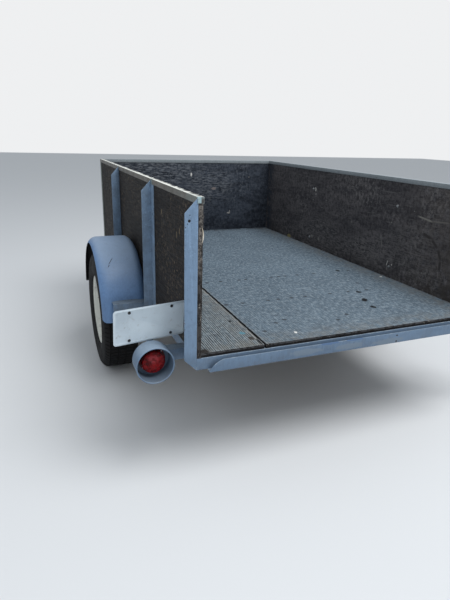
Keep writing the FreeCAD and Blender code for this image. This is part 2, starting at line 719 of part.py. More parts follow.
def coupler_half(y):
    """Half the width over the coupler's wings at a place along the tongue."""
    lean = math.radians(TONGUE_HALF_ANGLE)
    return (APEX_Y - y) * math.tan(lean) + COUPLER_PLATE / math.cos(lean)


def coupler():
    """Plate over the tongue members, with wings down their sides and an eye under each wing."""
    lean = math.radians(TONGUE_HALF_ANGLE)
    end = APEX_Y - COUPLER_WING_END
    wide = coupler_half(end)
    narrow = coupler_half(COUPLER_START)
    top = TONGUE_TOP + COUPLER_PLATE
    plan = [(-wide, end), (wide, end), (narrow, COUPLER_START), (-narrow, COUPLER_START)]
    shape = extrude(plan, "Z", TONGUE_TOP, top)
    wing_length = (COUPLER_WING_END - COUPLER_WING_START) / math.cos(lean)
    wing_start = COUPLER_WING_START / math.cos(lean)
    wing = block((0, -wing_start - wing_length, TONGUE_BOTTOM), (COUPLER_PLATE, -wing_start, top))
    ear = block(
        (0, -CHAIN_EAR_START - CHAIN_EAR_LENGTH, TONGUE_BOTTOM - CHAIN_EAR_DEPTH),
        (COUPLER_PLATE, -CHAIN_EAR_START, TONGUE_BOTTOM + 1),
    )
    hole_y = -CHAIN_EAR_START - CHAIN_EAR_LENGTH / 2
    hole_z = TONGUE_BOTTOM - CHAIN_EAR_DEPTH / 2
    hole = rod((-1, hole_y, hole_z), (COUPLER_PLATE + 1, hole_y, hole_z), CHAIN_HOLE_RADIUS)
    wing = in_tongue_frame(wing.fuse(ear).cut(hole))
    jack_hole = rod((0, JACK_Y, TONGUE_TOP - 1), (0, JACK_Y, top + 1), JACK_TUBE_RADIUS + SEAT_CLEARANCE)
    ahead = block((-BED_WIDTH, COUPLER_START, -BED_WIDTH), (BED_WIDTH, BALL_Y, BED_WIDTH))
    return shape.fuse(wing).fuse(mirrored(wing)).cut(jack_hole).cut(ahead).removeSplitter()


def coupler_nose():
    """Solid nose from the wings to the ball socket."""
    narrow = coupler_half(COUPLER_START)
    front = BALL_Y - SOCKET_OUTER
    plan = [
        (-narrow, COUPLER_START), (narrow, COUPLER_START), (SOCKET_OUTER, front), (-SOCKET_OUTER, front)
    ]
    return extrude(plan, "Z", SOCKET_BOTTOM, TONGUE_TOP + COUPLER_PLATE)


def coupler_socket():
    """Cup over the towing ball: a dome on a short barrel, joined to the nose by a square back."""
    back = block(
        (-SOCKET_OUTER, BALL_Y - SOCKET_OUTER, SOCKET_BOTTOM), (SOCKET_OUTER, BALL_Y, TONGUE_TOP + COUPLER_PLATE)
    )
    dome = Part.makeSphere(SOCKET_OUTER, Vector(0, BALL_Y, BALL_Z), Vector(0, 0, 1), 0, 90, 360)
    barrel = rod((0, BALL_Y, SOCKET_BOTTOM), (0, BALL_Y, BALL_Z), SOCKET_OUTER)
    room = BALL_RADIUS + BALL_CLEARANCE
    cavity = Part.makeSphere(room, Vector(0, BALL_Y, BALL_Z))
    mouth = rod((0, BALL_Y, SOCKET_BOTTOM - 1), (0, BALL_Y, BALL_Z), room)
    return back.fuse(dome).fuse(barrel).cut(cavity.fuse(mouth)).removeSplitter()


def coupler_latch():
    """Over-centre lever lying on the coupler's nose."""
    base = TONGUE_TOP + COUPLER_PLATE
    y0 = BALL_Y - 120
    side = [
        (y0, base), (y0 + 16, base), (y0 + 22, base + 14), (BALL_Y - 52, base + 16), (BALL_Y - 46, base),
        (BALL_Y - 34, base), (BALL_Y - 30, base + 20), (BALL_Y - 44, base + 30), (y0 - 8, base + 26),
        (y0 - 30, base + 20), (y0 - 30, base + 14), (y0 - 8, base + 14),
    ]
    return extrude(side, "X", -LATCH_WIDTH / 2, LATCH_WIDTH / 2)


def jack_tube():
    plate_high = TONGUE_TOP + COUPLER_PLATE
    low = TONGUE_TOP - JACK_TUBE_BELOW
    high = TONGUE_TOP + JACK_TUBE_ABOVE
    inner = JACK_TUBE_RADIUS - JACK_TUBE_WALL
    flange_top = plate_high + JACK_FLANGE_THICKNESS
    flange = rod((0, JACK_Y, plate_high), (0, JACK_Y, flange_top), JACK_FLANGE_RADIUS)
    tube = rod((0, JACK_Y, low), (0, JACK_Y, high), JACK_TUBE_RADIUS)
    bore = rod((0, JACK_Y, low - 1), (0, JACK_Y, high - JACK_TUBE_WALL), inner)
    cap = rod((0, JACK_Y, high), (0, JACK_Y, high + JACK_CAP_HEIGHT), JACK_CAP_RADIUS)
    return tube.fuse(flange).fuse(cap).cut(bore).removeSplitter()


def jack_crank():
    """Spindle, flat arm and grip on top of the jack."""
    low = TONGUE_TOP + JACK_TUBE_ABOVE + JACK_CAP_HEIGHT
    arm_z = low + CRANK_RISE
    arm_top = arm_z + CRANK_ARM_THICKNESS
    end_y = JACK_Y - CRANK_ARM
    half = CRANK_ARM_WIDTH / 2
    spindle = rod((0, JACK_Y, low), (0, JACK_Y, arm_top), CRANK_RADIUS)
    arm = block((-half, end_y - half, arm_z), (half, JACK_Y + half, arm_top))
    pin = rod((0, end_y, arm_z), (0, end_y, arm_top + CRANK_GRIP_GAP + CRANK_GRIP_LENGTH), CRANK_RADIUS)
    sleeve_low = arm_top + CRANK_GRIP_GAP
    sleeve = rod((0, end_y, sleeve_low), (0, end_y, sleeve_low + CRANK_GRIP_LENGTH), CRANK_GRIP_RADIUS)
    return spindle.fuse(arm).fuse(pin).fuse(sleeve).removeSplitter()


def jack_leg():
    outer = JACK_TUBE_RADIUS - JACK_TUBE_WALL - SEAT_CLEARANCE
    low = GROUND + JACK_FOOT_THICKNESS
    high = TONGUE_TOP - JACK_TUBE_BELOW + JACK_LEG_OVERLAP
    tube = rod((0, JACK_Y, low), (0, JACK_Y, high), outer)
    return tube.cut(rod((0, JACK_Y, low - 1), (0, JACK_Y, high + 1), outer - JACK_LEG_WALL))


def jack_foot():
    """Pressed foot plate with its two long edges turned up."""
    x = JACK_FOOT_WIDTH / 2
    t = JACK_FOOT_THICKNESS
    rise = JACK_FOOT_LIP
    outline = [
        (-x, GROUND), (x, GROUND), (x + rise, GROUND + rise), (x + rise - t, GROUND + rise + t * 0.4),
        (x - t * 0.4, GROUND + t), (-x + t * 0.4, GROUND + t), (-x - rise + t, GROUND + rise + t * 0.4),
        (-x - rise, GROUND + rise),
    ]
    return extrude(outline, "Y", JACK_Y - JACK_FOOT_LENGTH / 2, JACK_Y + JACK_FOOT_LENGTH / 2)


# Lamps and plate
def lamp_bracket():
    corner = (REAR + LAMP_BACK_FORWARD, FRAME_TOP)
    x0 = HALF_WIDTH
    return angle_bar("X", x0, HALF_WIDTH + BRACKET_REACH, corner, (1, -1), FRAME_LEG, FRAME_WALL)


def lamp_can():
    x = HALF_WIDTH + LAMP_OUT
    back = REAR + LAMP_BACK_FORWARD
    rear = back - LAMP_CAN_LENGTH
    z = -LAMP_DROP
    can = rod((x, rear, z), (x, back, z), LAMP_CAN_RADIUS)
    room = rod((x, rear - 1, z), (x, back - LAMP_CAN_WALL, z), LAMP_CAN_RADIUS - LAMP_CAN_WALL)
    return can.cut(room)


def lamp_lens():
    """Domed lens and its body, standing on the back of the can."""
    x = HALF_WIDTH + LAMP_OUT
    back = REAR + LAMP_BACK_FORWARD - LAMP_CAN_WALL
    face = back - LENS_BODY
    body = rod((x, face, -LAMP_DROP), (x, back, -LAMP_DROP), LENS_RADIUS)
    radius = (LENS_RADIUS ** 2 + LENS_DOME ** 2) / (2 * LENS_DOME)
    ball = Part.makeSphere(radius, Vector(x, face - LENS_DOME + radius, -LAMP_DROP))
    front = rod((x, face - LENS_DOME - 1, -LAMP_DROP), (x, face, -LAMP_DROP), LENS_RADIUS)
    ring = rod((x, back - LENS_RING_DEPTH, -LAMP_DROP), (x, back, -LAMP_DROP), LENS_RING_RADIUS)
    return body.fuse(ball.common(front)).fuse(ring).removeSplitter()


def on_plate(shape):
    """Turns a piece drawn upright about the plate's centre to where the plate hangs."""
    shape.rotate(Vector(0, 0, 0), Vector(1, 0, 0), PLATE_LEAN)
    shape.rotate(Vector(0, 0, 0), Vector(0, 0, 1), PLATE_YAW)
    shape.translate(Vector(-HALF_WIDTH - PLATE_OUT, REAR + PLATE_FORWARD, PLATE_Z))
    return shape


def plate_holes(y0, y1, rows):
    holes = []
    for across in (-0.5, 0.5):
        for up in rows:
            x = across * PLATE_HOLE_SPACING_X
            z = up * PLATE_HOLE_SPACING_Z
            holes.append(rod((x, y0, z), (x, y1, z), PLATE_HOLE_RADIUS))
    return holes


def plate():
    sheet = block((-PLATE_W / 2, 0, -PLATE_H / 2), (PLATE_W / 2, PLATE_SHEET, PLATE_H / 2))
    corners = [
        e for e in sheet.Edges
        if abs(e.Vertexes[0].X - e.Vertexes[1].X) + abs(e.Vertexes[0].Z - e.Vertexes[1].Z) < 0.001
    ]
    sheet = sheet.makeFillet(PLATE_CORNER, corners)
    for hole in plate_holes(-1, PLATE_SHEET + 1, (-0.5, 0.5)):
        sheet = sheet.cut(hole)
    return on_plate(sheet)


def plate_bracket():
    """Flat bars behind the plate, standing on the lamp bracket."""
    y0 = PLATE_SHEET
    y1 = y0 + PLATE_BAR_SHEET
    top = PLATE_HOLE_SPACING_Z / 2 + PLATE_BAR_WIDTH / 2
    stem = block((-PLATE_BAR_WIDTH / 2, y0, -PLATE_H * 2), (PLATE_BAR_WIDTH / 2, y1, top - PLATE_BAR_WIDTH))
    reach = PLATE_HOLE_SPACING_X / 2 + PLATE_BAR_WIDTH / 2
    strap = block((-reach, y0, top - PLATE_BAR_WIDTH), (reach, y1, top))
    shape = stem.fuse(strap)
    for hole in plate_holes(y0 - 1, y1 + 1, (0.5,)):
        shape = shape.cut(hole)
    shape = on_plate(shape)
    under = block(
        (-2 * BED_WIDTH, REAR - BED_WIDTH, -BED_WIDTH), (0, REAR + BED_WIDTH, FRAME_TOP)
    )
    return shape.cut(under).removeSplitter()


def main():
    os.makedirs("parts", exist_ok=True)
    save_pair("frame_rail", frame_rail())
    save("sill_rear", sill(REAR, 1))
    save("sill_front", sill(FRONT, -1))
    save("crossmembers", *crossmembers())
    save("tailgate_channel", tailgate_channel())
    save_pair("wall", wall_side())
    save("wall_front", wall_front())
    main_sheet, strip = floor_sheets()
    save("floor_sheet", main_sheet)
    save("floor_strip", strip)
    save_pair("cap", cap_side())
    save("cap_front", cap_front())
    posts = side_posts()
    save("posts_right", *posts)
    save("posts_left", *[mirrored(piece) for piece in posts])
    save("posts_front", *front_posts())
    save("axle", axle())
    save_pair("spring", spring())
    save("spring_hangers", *hangers())
    fixing = spring_plate()
    save("spring_plates", fixing, mirrored(fixing))
    save_pair("rim", rim())
    save_pair("hub", hub())
    save_pair("tyre", tyre())
    save_pair("fender", fender())
    brackets = fender_bracket_pair()
    save("fender_brackets", *brackets, *[mirrored(piece) for piece in brackets])
    save_pair("tongue", tongue_member())
    save("coupler", coupler())
    save("coupler_nose", coupler_nose())
    save("coupler_socket", coupler_socket())
    save("coupler_latch", coupler_latch())
    save("jack_tube", jack_tube())
    save("jack_crank", jack_crank())
    save("jack_leg", jack_leg())
    save("jack_foot", jack_foot())
    save_pair("lamp_bracket", lamp_bracket())
    save_pair("lamp_can", lamp_can())
    save_pair("lamp_lens", lamp_lens())
    save("plate", plate())
    save("plate_bracket", plate_bracket())


main()
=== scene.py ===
import bmesh
import bpy
import json
import math
import random
from mathutils import Matrix, Vector, noise

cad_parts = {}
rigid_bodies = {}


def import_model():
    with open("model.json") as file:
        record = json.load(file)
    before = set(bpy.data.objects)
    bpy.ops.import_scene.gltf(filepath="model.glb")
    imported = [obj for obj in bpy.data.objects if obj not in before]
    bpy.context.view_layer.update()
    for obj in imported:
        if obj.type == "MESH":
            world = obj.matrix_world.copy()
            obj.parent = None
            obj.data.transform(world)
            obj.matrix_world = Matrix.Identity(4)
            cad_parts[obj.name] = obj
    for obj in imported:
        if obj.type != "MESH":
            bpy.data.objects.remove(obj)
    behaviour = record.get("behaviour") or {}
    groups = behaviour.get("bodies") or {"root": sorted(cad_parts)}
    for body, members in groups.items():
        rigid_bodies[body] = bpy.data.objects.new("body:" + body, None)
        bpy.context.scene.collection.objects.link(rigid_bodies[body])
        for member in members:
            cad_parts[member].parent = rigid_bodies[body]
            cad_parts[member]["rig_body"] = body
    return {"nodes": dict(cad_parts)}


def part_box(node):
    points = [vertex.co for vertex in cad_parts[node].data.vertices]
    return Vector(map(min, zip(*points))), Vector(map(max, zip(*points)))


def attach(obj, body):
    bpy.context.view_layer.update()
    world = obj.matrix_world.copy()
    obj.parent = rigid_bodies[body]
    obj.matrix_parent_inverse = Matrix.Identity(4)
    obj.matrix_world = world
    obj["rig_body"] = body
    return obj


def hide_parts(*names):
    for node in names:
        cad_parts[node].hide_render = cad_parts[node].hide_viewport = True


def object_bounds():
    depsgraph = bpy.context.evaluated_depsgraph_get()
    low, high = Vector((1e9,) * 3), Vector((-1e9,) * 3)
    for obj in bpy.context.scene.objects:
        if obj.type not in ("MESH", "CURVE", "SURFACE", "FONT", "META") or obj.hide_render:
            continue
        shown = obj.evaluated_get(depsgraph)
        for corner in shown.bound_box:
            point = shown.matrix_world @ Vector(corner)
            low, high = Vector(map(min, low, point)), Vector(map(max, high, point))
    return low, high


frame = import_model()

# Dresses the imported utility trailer. Metres: +X is its right side, +Y forwards, +Z up.
# The origin is the centre of the deck, on the floor's top face.
CAD_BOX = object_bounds()
SIDES = (("left", -1), ("right", 1))

# Camera, as it stood for the photograph
CAMERA_PLACE = Vector((-1.3070, -2.8133, 0.8193))
CAMERA_YAW = math.radians(-22.428)
CAMERA_DOWN = math.radians(19.244)
CAMERA_ROLL = math.radians(1.829)
CAMERA_LENS = 28.29
GROUND_REACH = 30.0

# Sizes that the small pieces share
BEVEL = 0.0012
PLIES = 7
CHIP_STEP = 0.005
CHIP_REACH = 0.016
SPLINTERS = 34
WELD_RADIUS = 0.0032
WELD_OUT = 0.0006
BOLT_RADIUS = 0.004
POST_WALL = 0.0032
POST_BOLTS_Y = (-0.536, 0.411)
POST_BOLTS_Z = (0.070, 0.447)
POST_TIPS_Y = (-0.525, 0.398)
ANGLE_LEG = 0.0508
FENDER_AXIS_Z = -0.185
FENDER_BEAD_START = 0.062
# Each row of floor screws is its Y and the X of each head.
SCREW_ROWS = (
    (-0.330, (-0.400, -0.313, -0.196, -0.151, 0.023, 0.073, 0.118, 0.206, 0.327, 0.589)),
    (-0.715, (-0.433, -0.342, -0.194, -0.134, -0.052, 0.035, 0.195, 0.316, 0.442)),
)

# Tyre and wheel
BEAD_RADIUS = 0.1905
BEAD_HALF = 0.0762
TYRE_WALL = 0.011
GROOVE = 0.0065
TREAD_PITCHES = 78
SLOT_SHARE = 0.16
STUD_CIRCLE = 0.05715
NUT_SEAT = 0.0035
VALVE_FOOT = (0.030, 0.030, 0.158)

# Springs
LEAF = 0.007
CLIP_AT = 0.190
CLIP_SHEET = 0.003
CLIP_HALF = 0.012
SPRING_RADIUS = 2.119
HANGER_LENGTHS = (0.110, 0.064)
U_BOLT_TAIL = 0.016
U_BOLT_OUT = 0.0075
U_BOLT_AHEAD = 0.03595

# Tongue, coupler and jack
TONGUE_LEAN = math.radians(25.0)
TONGUE_FLANGE = 0.0381
COUPLER_PAST_APEX = 0.0518
JACK_BOLT_CIRCLE = 0.041
JACK_FLANGE_TOP = -0.0568
WING_SHEET = 0.005
WING_BOLTS_ALONG = (0.110, 0.250)

# Lamps and plate
LENS_DOME = 0.012
LENS_RADIUS = 0.047
LENS_STEP = 0.0004
LENS_RING_DEPTH = 0.014
LENS_RIBS = 12
PLATE_YAW = math.radians(9.6)
PLATE_LEAN = math.radians(6.2)
PLATE_SIZE = (0.3048, 0.1524)
PLATE_HOLES = (0.1778, 0.12065)
PLATE_SHEET = 0.0015
PLATE_CORNER = 0.012

# Places read off the CAD nodes
WALL_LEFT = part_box("wall_left")
WALL_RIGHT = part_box("wall_right")
WALL_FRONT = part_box("wall_front")
FLOOR_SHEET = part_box("floor_sheet")
FLOOR_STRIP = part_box("floor_strip")
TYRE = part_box("tyre_right")
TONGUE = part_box("tongue_right")
SILL_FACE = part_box("tailgate_channel")[0].y
REAR = WALL_RIGHT[0].y
FRONT = WALL_RIGHT[1].y
HALF_WIDTH = WALL_RIGHT[1].x
AXLE = (TYRE[0] + TYRE[1]) / 2
TYRE_RADIUS = AXLE.z - TYRE[0].z
TYRE_HALF = (TYRE[1].x - TYRE[0].x) / 2
APEX_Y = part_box("coupler_socket")[1].y - COUPLER_PAST_APEX

# How far the ragged border of a mark reaches, as a share of its radius
RAGGED = 1.1

# Plywood colours. A palette is its low, middle and high colour.
OUTER_STAIN = ((0.005, 0.0045, 0.005), (0.013, 0.0105, 0.0100), (0.120, 0.090, 0.062))
INNER_STAIN = ((0.046, 0.043, 0.048), (0.086, 0.079, 0.083), (0.200, 0.190, 0.185))
BLUE_STAIN = ((0.014, 0.019, 0.029), (0.038, 0.047, 0.064), (0.120, 0.130, 0.145))
SHEET_PAINT = ((0.088, 0.124, 0.160), (0.130, 0.178, 0.222), (0.270, 0.320, 0.355))
STRIP_PAINT = ((0.090, 0.120, 0.142), (0.150, 0.188, 0.212), (0.330, 0.365, 0.380))
BARE_PLY = ((0.070, 0.048, 0.032), (0.150, 0.105, 0.068), (0.22, 0.17, 0.12))
WHITE = (0.38, 0.37, 0.35)
TAN = (0.17, 0.13, 0.08)
DARK = (0.007, 0.008, 0.010)
# painted shade beside the floor's seam, widening its dark gap
SEAM_SHADE = (0.006, 0.006, 0.007)
DUST = (0.160, 0.148, 0.128)
# darker colour laid along the foot of the walls
WALL_FOOT_DARK = (0.024, 0.024, 0.026)


# Scene
def make_camera():
    data = bpy.data.cameras.new("camera")
    data.lens = CAMERA_LENS
    data.clip_start = 0.05
    camera = bpy.data.objects.new("camera", data)
    camera.matrix_world = (
        Matrix.Translation(CAMERA_PLACE)
        @ Matrix.Rotation(CAMERA_YAW, 4, "Z")
        @ Matrix.Rotation(math.pi / 2 - CAMERA_DOWN, 4, "X")
        @ Matrix.Rotation(CAMERA_ROLL, 4, "Z")
    )
    bpy.context.collection.objects.link(camera)
    bpy.context.scene.camera = camera


def make_light(name, place, target, size, power, colour):
    data = bpy.data.lights.new(name, "AREA")
    data.shape = "DISK"
    data.size = size
    data.energy = power
    data.color = colour
    light = bpy.data.objects.new(name, data)
    light.location = place
    light.rotation_mode = "QUATERNION"
    light.rotation_quaternion = (Vector(target) - Vector(place)).to_track_quat("-Z", "Y")
    bpy.context.collection.objects.link(light)


def make_world():
    """Even sky light. The camera, also through glass, sees a pale backdrop."""
    world = bpy.data.worlds.new("studio")
    world.use_nodes = True
    tree = world.node_tree
    tree.nodes.clear()
    path = add_node(tree, "ShaderNodeLightPath").outputs
    rays = {0: path["Is Camera Ray"], 1: path["Is Transmission Ray"]}
    either = add_node(tree, "ShaderNodeMath", rays, operation="MAXIMUM")
    light = add_node(tree, "ShaderNodeBackground", {"Color": (0.88, 0.94, 1.0), "Strength": 0.58})
    seen = add_node(tree, "ShaderNodeBackground", {"Color": (0.86, 0.87, 0.88), "Strength": 1.0})
    shaders = {0: either.outputs[0], 1: light.outputs[0], 2: seen.outputs[0]}
    mix = add_node(tree, "ShaderNodeMixShader", shaders)
    add_node(tree, "ShaderNodeOutputWorld", {"Surface": mix.outputs[0]})
    bpy.context.scene.world = world


def make_floor():
    mesh = bpy.data.meshes.new("ground")
    corners = [(x * GROUND_REACH, y * GROUND_REACH, 0) for x, y in ((-1, -1), (1, -1), (1, 1), (-1, 1))]
    mesh.from_pydata(corners, [], [(0, 1, 2, 3)])
    ground = bpy.data.objects.new("ground", mesh)
    ground.location.z = CAD_BOX[0].z
    bpy.context.collection.objects.link(ground)
    look = Finish("pale_floor", Roughness=0.9).finish((0.68, 0.69, 0.70))
    mesh.materials.append(look[0])


# Materials
def add_node(tree, kind, inputs=None, **settings):
    """A node with its settings, and its inputs each linked to an output or set to a plain value."""
    node = tree.nodes.new(kind)
    for key, value in settings.items():
        setattr(node, key, value)
    for name, value in (inputs or {}).items():
        put(tree, node.inputs[name], value)
    return node


def put(tree, socket, value):
    if isinstance(value, bpy.types.NodeSocket):
        tree.links.new(value, socket)
    else:
        socket.default_value = (*value, 1) if socket.type == "RGBA" else value


class Finish:
    """One procedural material. Its textures are laid out in metres, where the meshes are drawn."""

    def __init__(self, name, slot=None, **sockets):
        self.slot = slot
        self.material = bpy.data.materials.new(name)
        self.material.use_nodes = True
        self.tree = self.material.node_tree
        self.surface = self.tree.nodes["Principled BSDF"].inputs
        for socket, value in sockets.items():
            self.surface[socket.replace("_", " ")].default_value = value
        coordinates = self.add("ShaderNodeTexCoord").outputs
        self.place = coordinates["Object"]
        self.normal = coordinates["Normal"]

    def add(self, kind, inputs=None, **settings):
        return add_node(self.tree, kind, inputs, **settings)

    def noise(self, scale, detail=3.0, rough=0.55, offset=(0, 0, 0), stretch=(1, 1, 1), warp=0.0):
        laid_out = {"Vector": self.place, "Scale": stretch, "Location": offset}
        place = self.add("ShaderNodeMapping", laid_out).outputs["Vector"]
        inputs = {"Vector": place, "Scale": scale, "Detail": detail, "Roughness": rough, "Distortion": warp}
        return self.add("ShaderNodeTexNoise", inputs).outputs[0]

    def ramp(self, value, low, high, to_low=0.0, to_high=1.0):
        inputs = {"Value": value, "From Min": low, "From Max": high, "To Min": to_low, "To Max": to_high}
        return self.add("ShaderNodeMapRange", inputs, interpolation_type="SMOOTHSTEP").outputs["Result"]

    def patches(self, scale, low, high, *texture, to=(0.0, 1.0), **options):
        """Noise of a scale, detail, roughness and offset, ramped up between a low and a high level."""
        return self.ramp(self.noise(scale, *texture, **options), low, high, *to)

    def calc(self, operation, first, second=0.0):
        return self.add("ShaderNodeMath", {0: first, 1: second}, operation=operation).outputs[0]

    def times(self, first, second):
        return self.calc("MULTIPLY", first, second)

    def most(self, first, second):
        return self.calc("MAXIMUM", first, second)

    def vector(self, operation, first, second=(0, 0, 0)):
        outputs = self.add("ShaderNodeVectorMath", {0: first, 1: second}, operation=operation).outputs
        return outputs["Value" if operation in ("LENGTH", "DOT_PRODUCT") else "Vector"]

    def mix(self, factor, first, second):
        return self.add("ShaderNodeMix", {0: factor, 6: first, 7: second}, data_type="RGBA").outputs[2]

    def over(self, colour, mask, tint, share=None):
        """A tint laid over a colour by its mask, or by a share of the mask."""
        return self.mix(mask if share is None else self.times(mask, share), colour, tint)

    def along(self, axis):
        return self.add("ShaderNodeSeparateXYZ", {0: self.place}).outputs["XYZ".index(axis)]

    def facing(self, axis):
        """1 where the surface faces the way of an axis, -1 where it faces away."""
        return self.add("ShaderNodeSeparateXYZ", {0: self.normal}).outputs["XYZ".index(axis)]

    def toned(self, tone, pits, highs, palette):
        """Three colours laid by their masks: low and middle by tone, dark pits, and high spots."""
        low, middle, high = palette
        colour = self.over(self.mix(tone, low, middle), pits, shaded(low, 0.35))
        return self.over(colour, highs, high)

    def from_point(self, point, squeeze):
        """Distance to a point, measured on squeezed axes."""
        away = self.vector("SUBTRACT", self.place, point)
        return self.vector("LENGTH", self.vector("MULTIPLY", away, squeeze))

    def near(self, points, radius, squeeze, soft=1.25):
        """1 at each point, fading to 0 at the radius, with a ragged border."""
        distance = self.from_point(points[0], squeeze)
        for point in points[1:]:
            distance = self.calc("MINIMUM", distance, self.from_point(point, squeeze))
        reach = radius * RAGGED
        border = self.times(self.noise(0.9 / radius, 4.0), reach)
        return self.ramp(self.calc("ADD", distance, border), reach, reach * soft, 1.0, 0.0)

    def stroke(self, start, end, width):
        """1 along a straight scratch, tapered to its ends."""
        run = Vector(end) - Vector(start)
        half = run.length / 2
        away = self.vector("SUBTRACT", self.place, Vector(start) + run / 2)
        reach = self.calc("ABSOLUTE", self.vector("DOT_PRODUCT", away, run.normalized()))
        whole = self.vector("LENGTH", away)
        square = self.calc("SUBTRACT", self.calc("POWER", whole, 2.0), self.calc("POWER", reach, 2.0))
        side = self.calc("SQRT", self.most(square, 0.0))
        body = self.ramp(side, width * 0.4, width * 0.6, 1.0, 0.0)
        return self.times(body, self.ramp(reach, half * 0.55, half, 1.0, 0.0))

    def laid(self, colour, marks, strokes=()):
        """Marks, each (points, radius, squeeze, tint), and strokes, each (start, end, width, tint)."""
        for points, radius, squeeze, tint in marks:
            colour = self.over(colour, self.near(points, radius, squeeze), tint)
        for start, end, width, tint in strokes:
            colour = self.over(colour, self.stroke(start, end, width), tint)
        return colour

    def bordered(self, colour, borders):
        """Ragged bands of colour that grow along an axis: dirt and wear, and in places painted shade and
        highlight. Each is (axis, from, to, share, tint).
        """
        patchy = self.patches(19.0, 0.36, 0.60, 6.0, 0.72, (2, 7, 5))
        for axis, start, end, share, tint in borders:
            band = self.ramp(self.along(axis), start, end, 0.0, share)
            colour = self.over(colour, band, tint, patchy)
        return colour

    def finish(self, colour, roughness=None, height=None, depth=0.0005):
        """Wires the colour, roughness and relief. Gives the look: the material with its slot."""
        put(self.tree, self.surface["Base Color"], colour)
        if roughness is not None:
            put(self.tree, self.surface["Roughness"], roughness)
        if height is not None:
            bump = self.add("ShaderNodeBump", {"Strength": 1.0, "Distance": depth, "Height": height})
            put(self.tree, self.surface["Normal"], bump.outputs[0])
        return self.material, self.slot


def shaded(colour, share):
    return tuple(c * share for c in colour)


def middle(box):
    return (box[0] + box[1]) / 2


def in_face(axis, level, pair):
    """Point of the flat face at a level of an axis, from its other two coordinates."""
    point = list(pair)
    point.insert("XYZ".index(axis), level)
    return tuple(point)


def marks_on(axis, level, marks):
    """Marks for laid, from ones whose points and squeezes are pairs in a flat face."""
    return [
        ([in_face(axis, level, p) for p in points], radius, in_face(axis, 1, squeeze), tint)
        for points, radius, squeeze, tint in marks
    ]


def steel_paint(name, colour, chips=1.0, dust=0.25, painted_top_light=0.35, top=(0.40, 0.45, 0.48),
                edge=(0.30, 0.33, 0.33), flecks=0.0, marks=(), strokes=(), borders=()):
    """Brushed-on house paint over angle steel: uneven tone, chips to rust, worn edges, low dust, painted
    top light, and painted shade below the deck and underneath.
    """
    f = Finish(name, "steel_paint", Roughness=0.5, Specular_IOR_Level=0.35)
    tone = f.patches(2.2, 0.3, 0.7, 4.0, offset=(3, 1, 7))
    paint = f.mix(tone, shaded(colour, 0.90), shaded(colour, 1.08))
    brush = f.patches(150.0, 0.35, 0.7, stretch=(1, 1, 0.14))
    paint = f.over(paint, brush, shaded(colour, 1.35), 0.30)
    dull = f.patches(42.0, 0.5, 0.68, 5.0, 0.65, (6, 6, 2))
    paint = f.over(paint, dull, shaded(colour, 0.62), 0.28)
    # painted top light: faces that look up take the paler, bluer top colour, standing in for light from
    # above
    paint = f.over(paint, f.ramp(f.facing("Z"), 0.4, 0.95), top, painted_top_light)
    height = f.along("Z")
    # painted shade: below the deck's level the paint darkens to a near-black copy of itself, by the dust
    # share, standing in for the shade under the bed
    paint = f.over(paint, f.ramp(height, 0.02, -0.02, 0.0, dust), shaded(colour, 0.18))
    grime = f.times(f.patches(26.0, 0.42, 0.66, 5.0, 0.65), f.ramp(height, -0.25, 0.15, dust, 0.0))
    paint = f.over(paint, grime, (0.10, 0.085, 0.07))
    if flecks:
        fine = f.noise(155.0, 2.0, 0.7, (5, 2, 6))
        high = f.times(f.ramp(height, 0.25, 0.42), flecks)
        paint = f.over(paint, f.ramp(fine, 0.60, 0.68), shaded(colour, 1.9), high)
        paint = f.over(paint, f.ramp(fine, 0.36, 0.29), shaded(colour, 0.15), high)
    paint = f.bordered(paint, borders)
    bevelled = f.add("ShaderNodeAttribute", attribute_name="wear").outputs["Fac"]
    worn = f.times(bevelled, f.patches(42.0, 0.5, 0.6, 5.0, 0.7))
    paint = f.over(paint, worn, edge, 0.6 * min(chips, 1.3))
    # painted shade: faces that look down darken nearly to black
    paint = f.over(paint, f.ramp(f.facing("Z"), -0.25, -0.85, 0.0, 0.8), (0.022, 0.020, 0.019))
    cluster = f.patches(5.0, 0.52, 0.66, 2.0, offset=(9, 2, 4))
    chip = f.times(f.times(f.patches(85.0, 0.655, 0.675, 5.0, 0.6, (1, 8, 3)), cluster), chips)
    rust = f.mix(f.patches(210.0, 0.35, 0.65), (0.030, 0.020, 0.016), (0.105, 0.048, 0.024))
    paint = f.laid(f.over(paint, chip, rust), marks, strokes)
    rough = f.patches(14.0, 0.3, 0.7, 4.0, to=(0.42, 0.66))
    return f.finish(paint, rough, f.calc("SUBTRACT", f.times(brush, 0.3), chip), 0.00035)


def run_along(axis, share):
    """Stretch that draws a texture out along an axis."""
    return tuple(share if letter == axis else 1 for letter in "XYZ")


def grain(f, axis):
    """Weathered plywood face that runs along an axis: broad figure, streaks and fine pores."""
    figure = f.noise(13.0, 5.0, 0.62, stretch=run_along(axis, 0.3), warp=0.9)
    streak = f.noise(105.0, 4.0, 0.62, (3, 5, 2), run_along(axis, 0.2), 0.25)
    return figure, streak, f.noise(230.0, 3.0, 0.6, stretch=run_along(axis, 0.05))


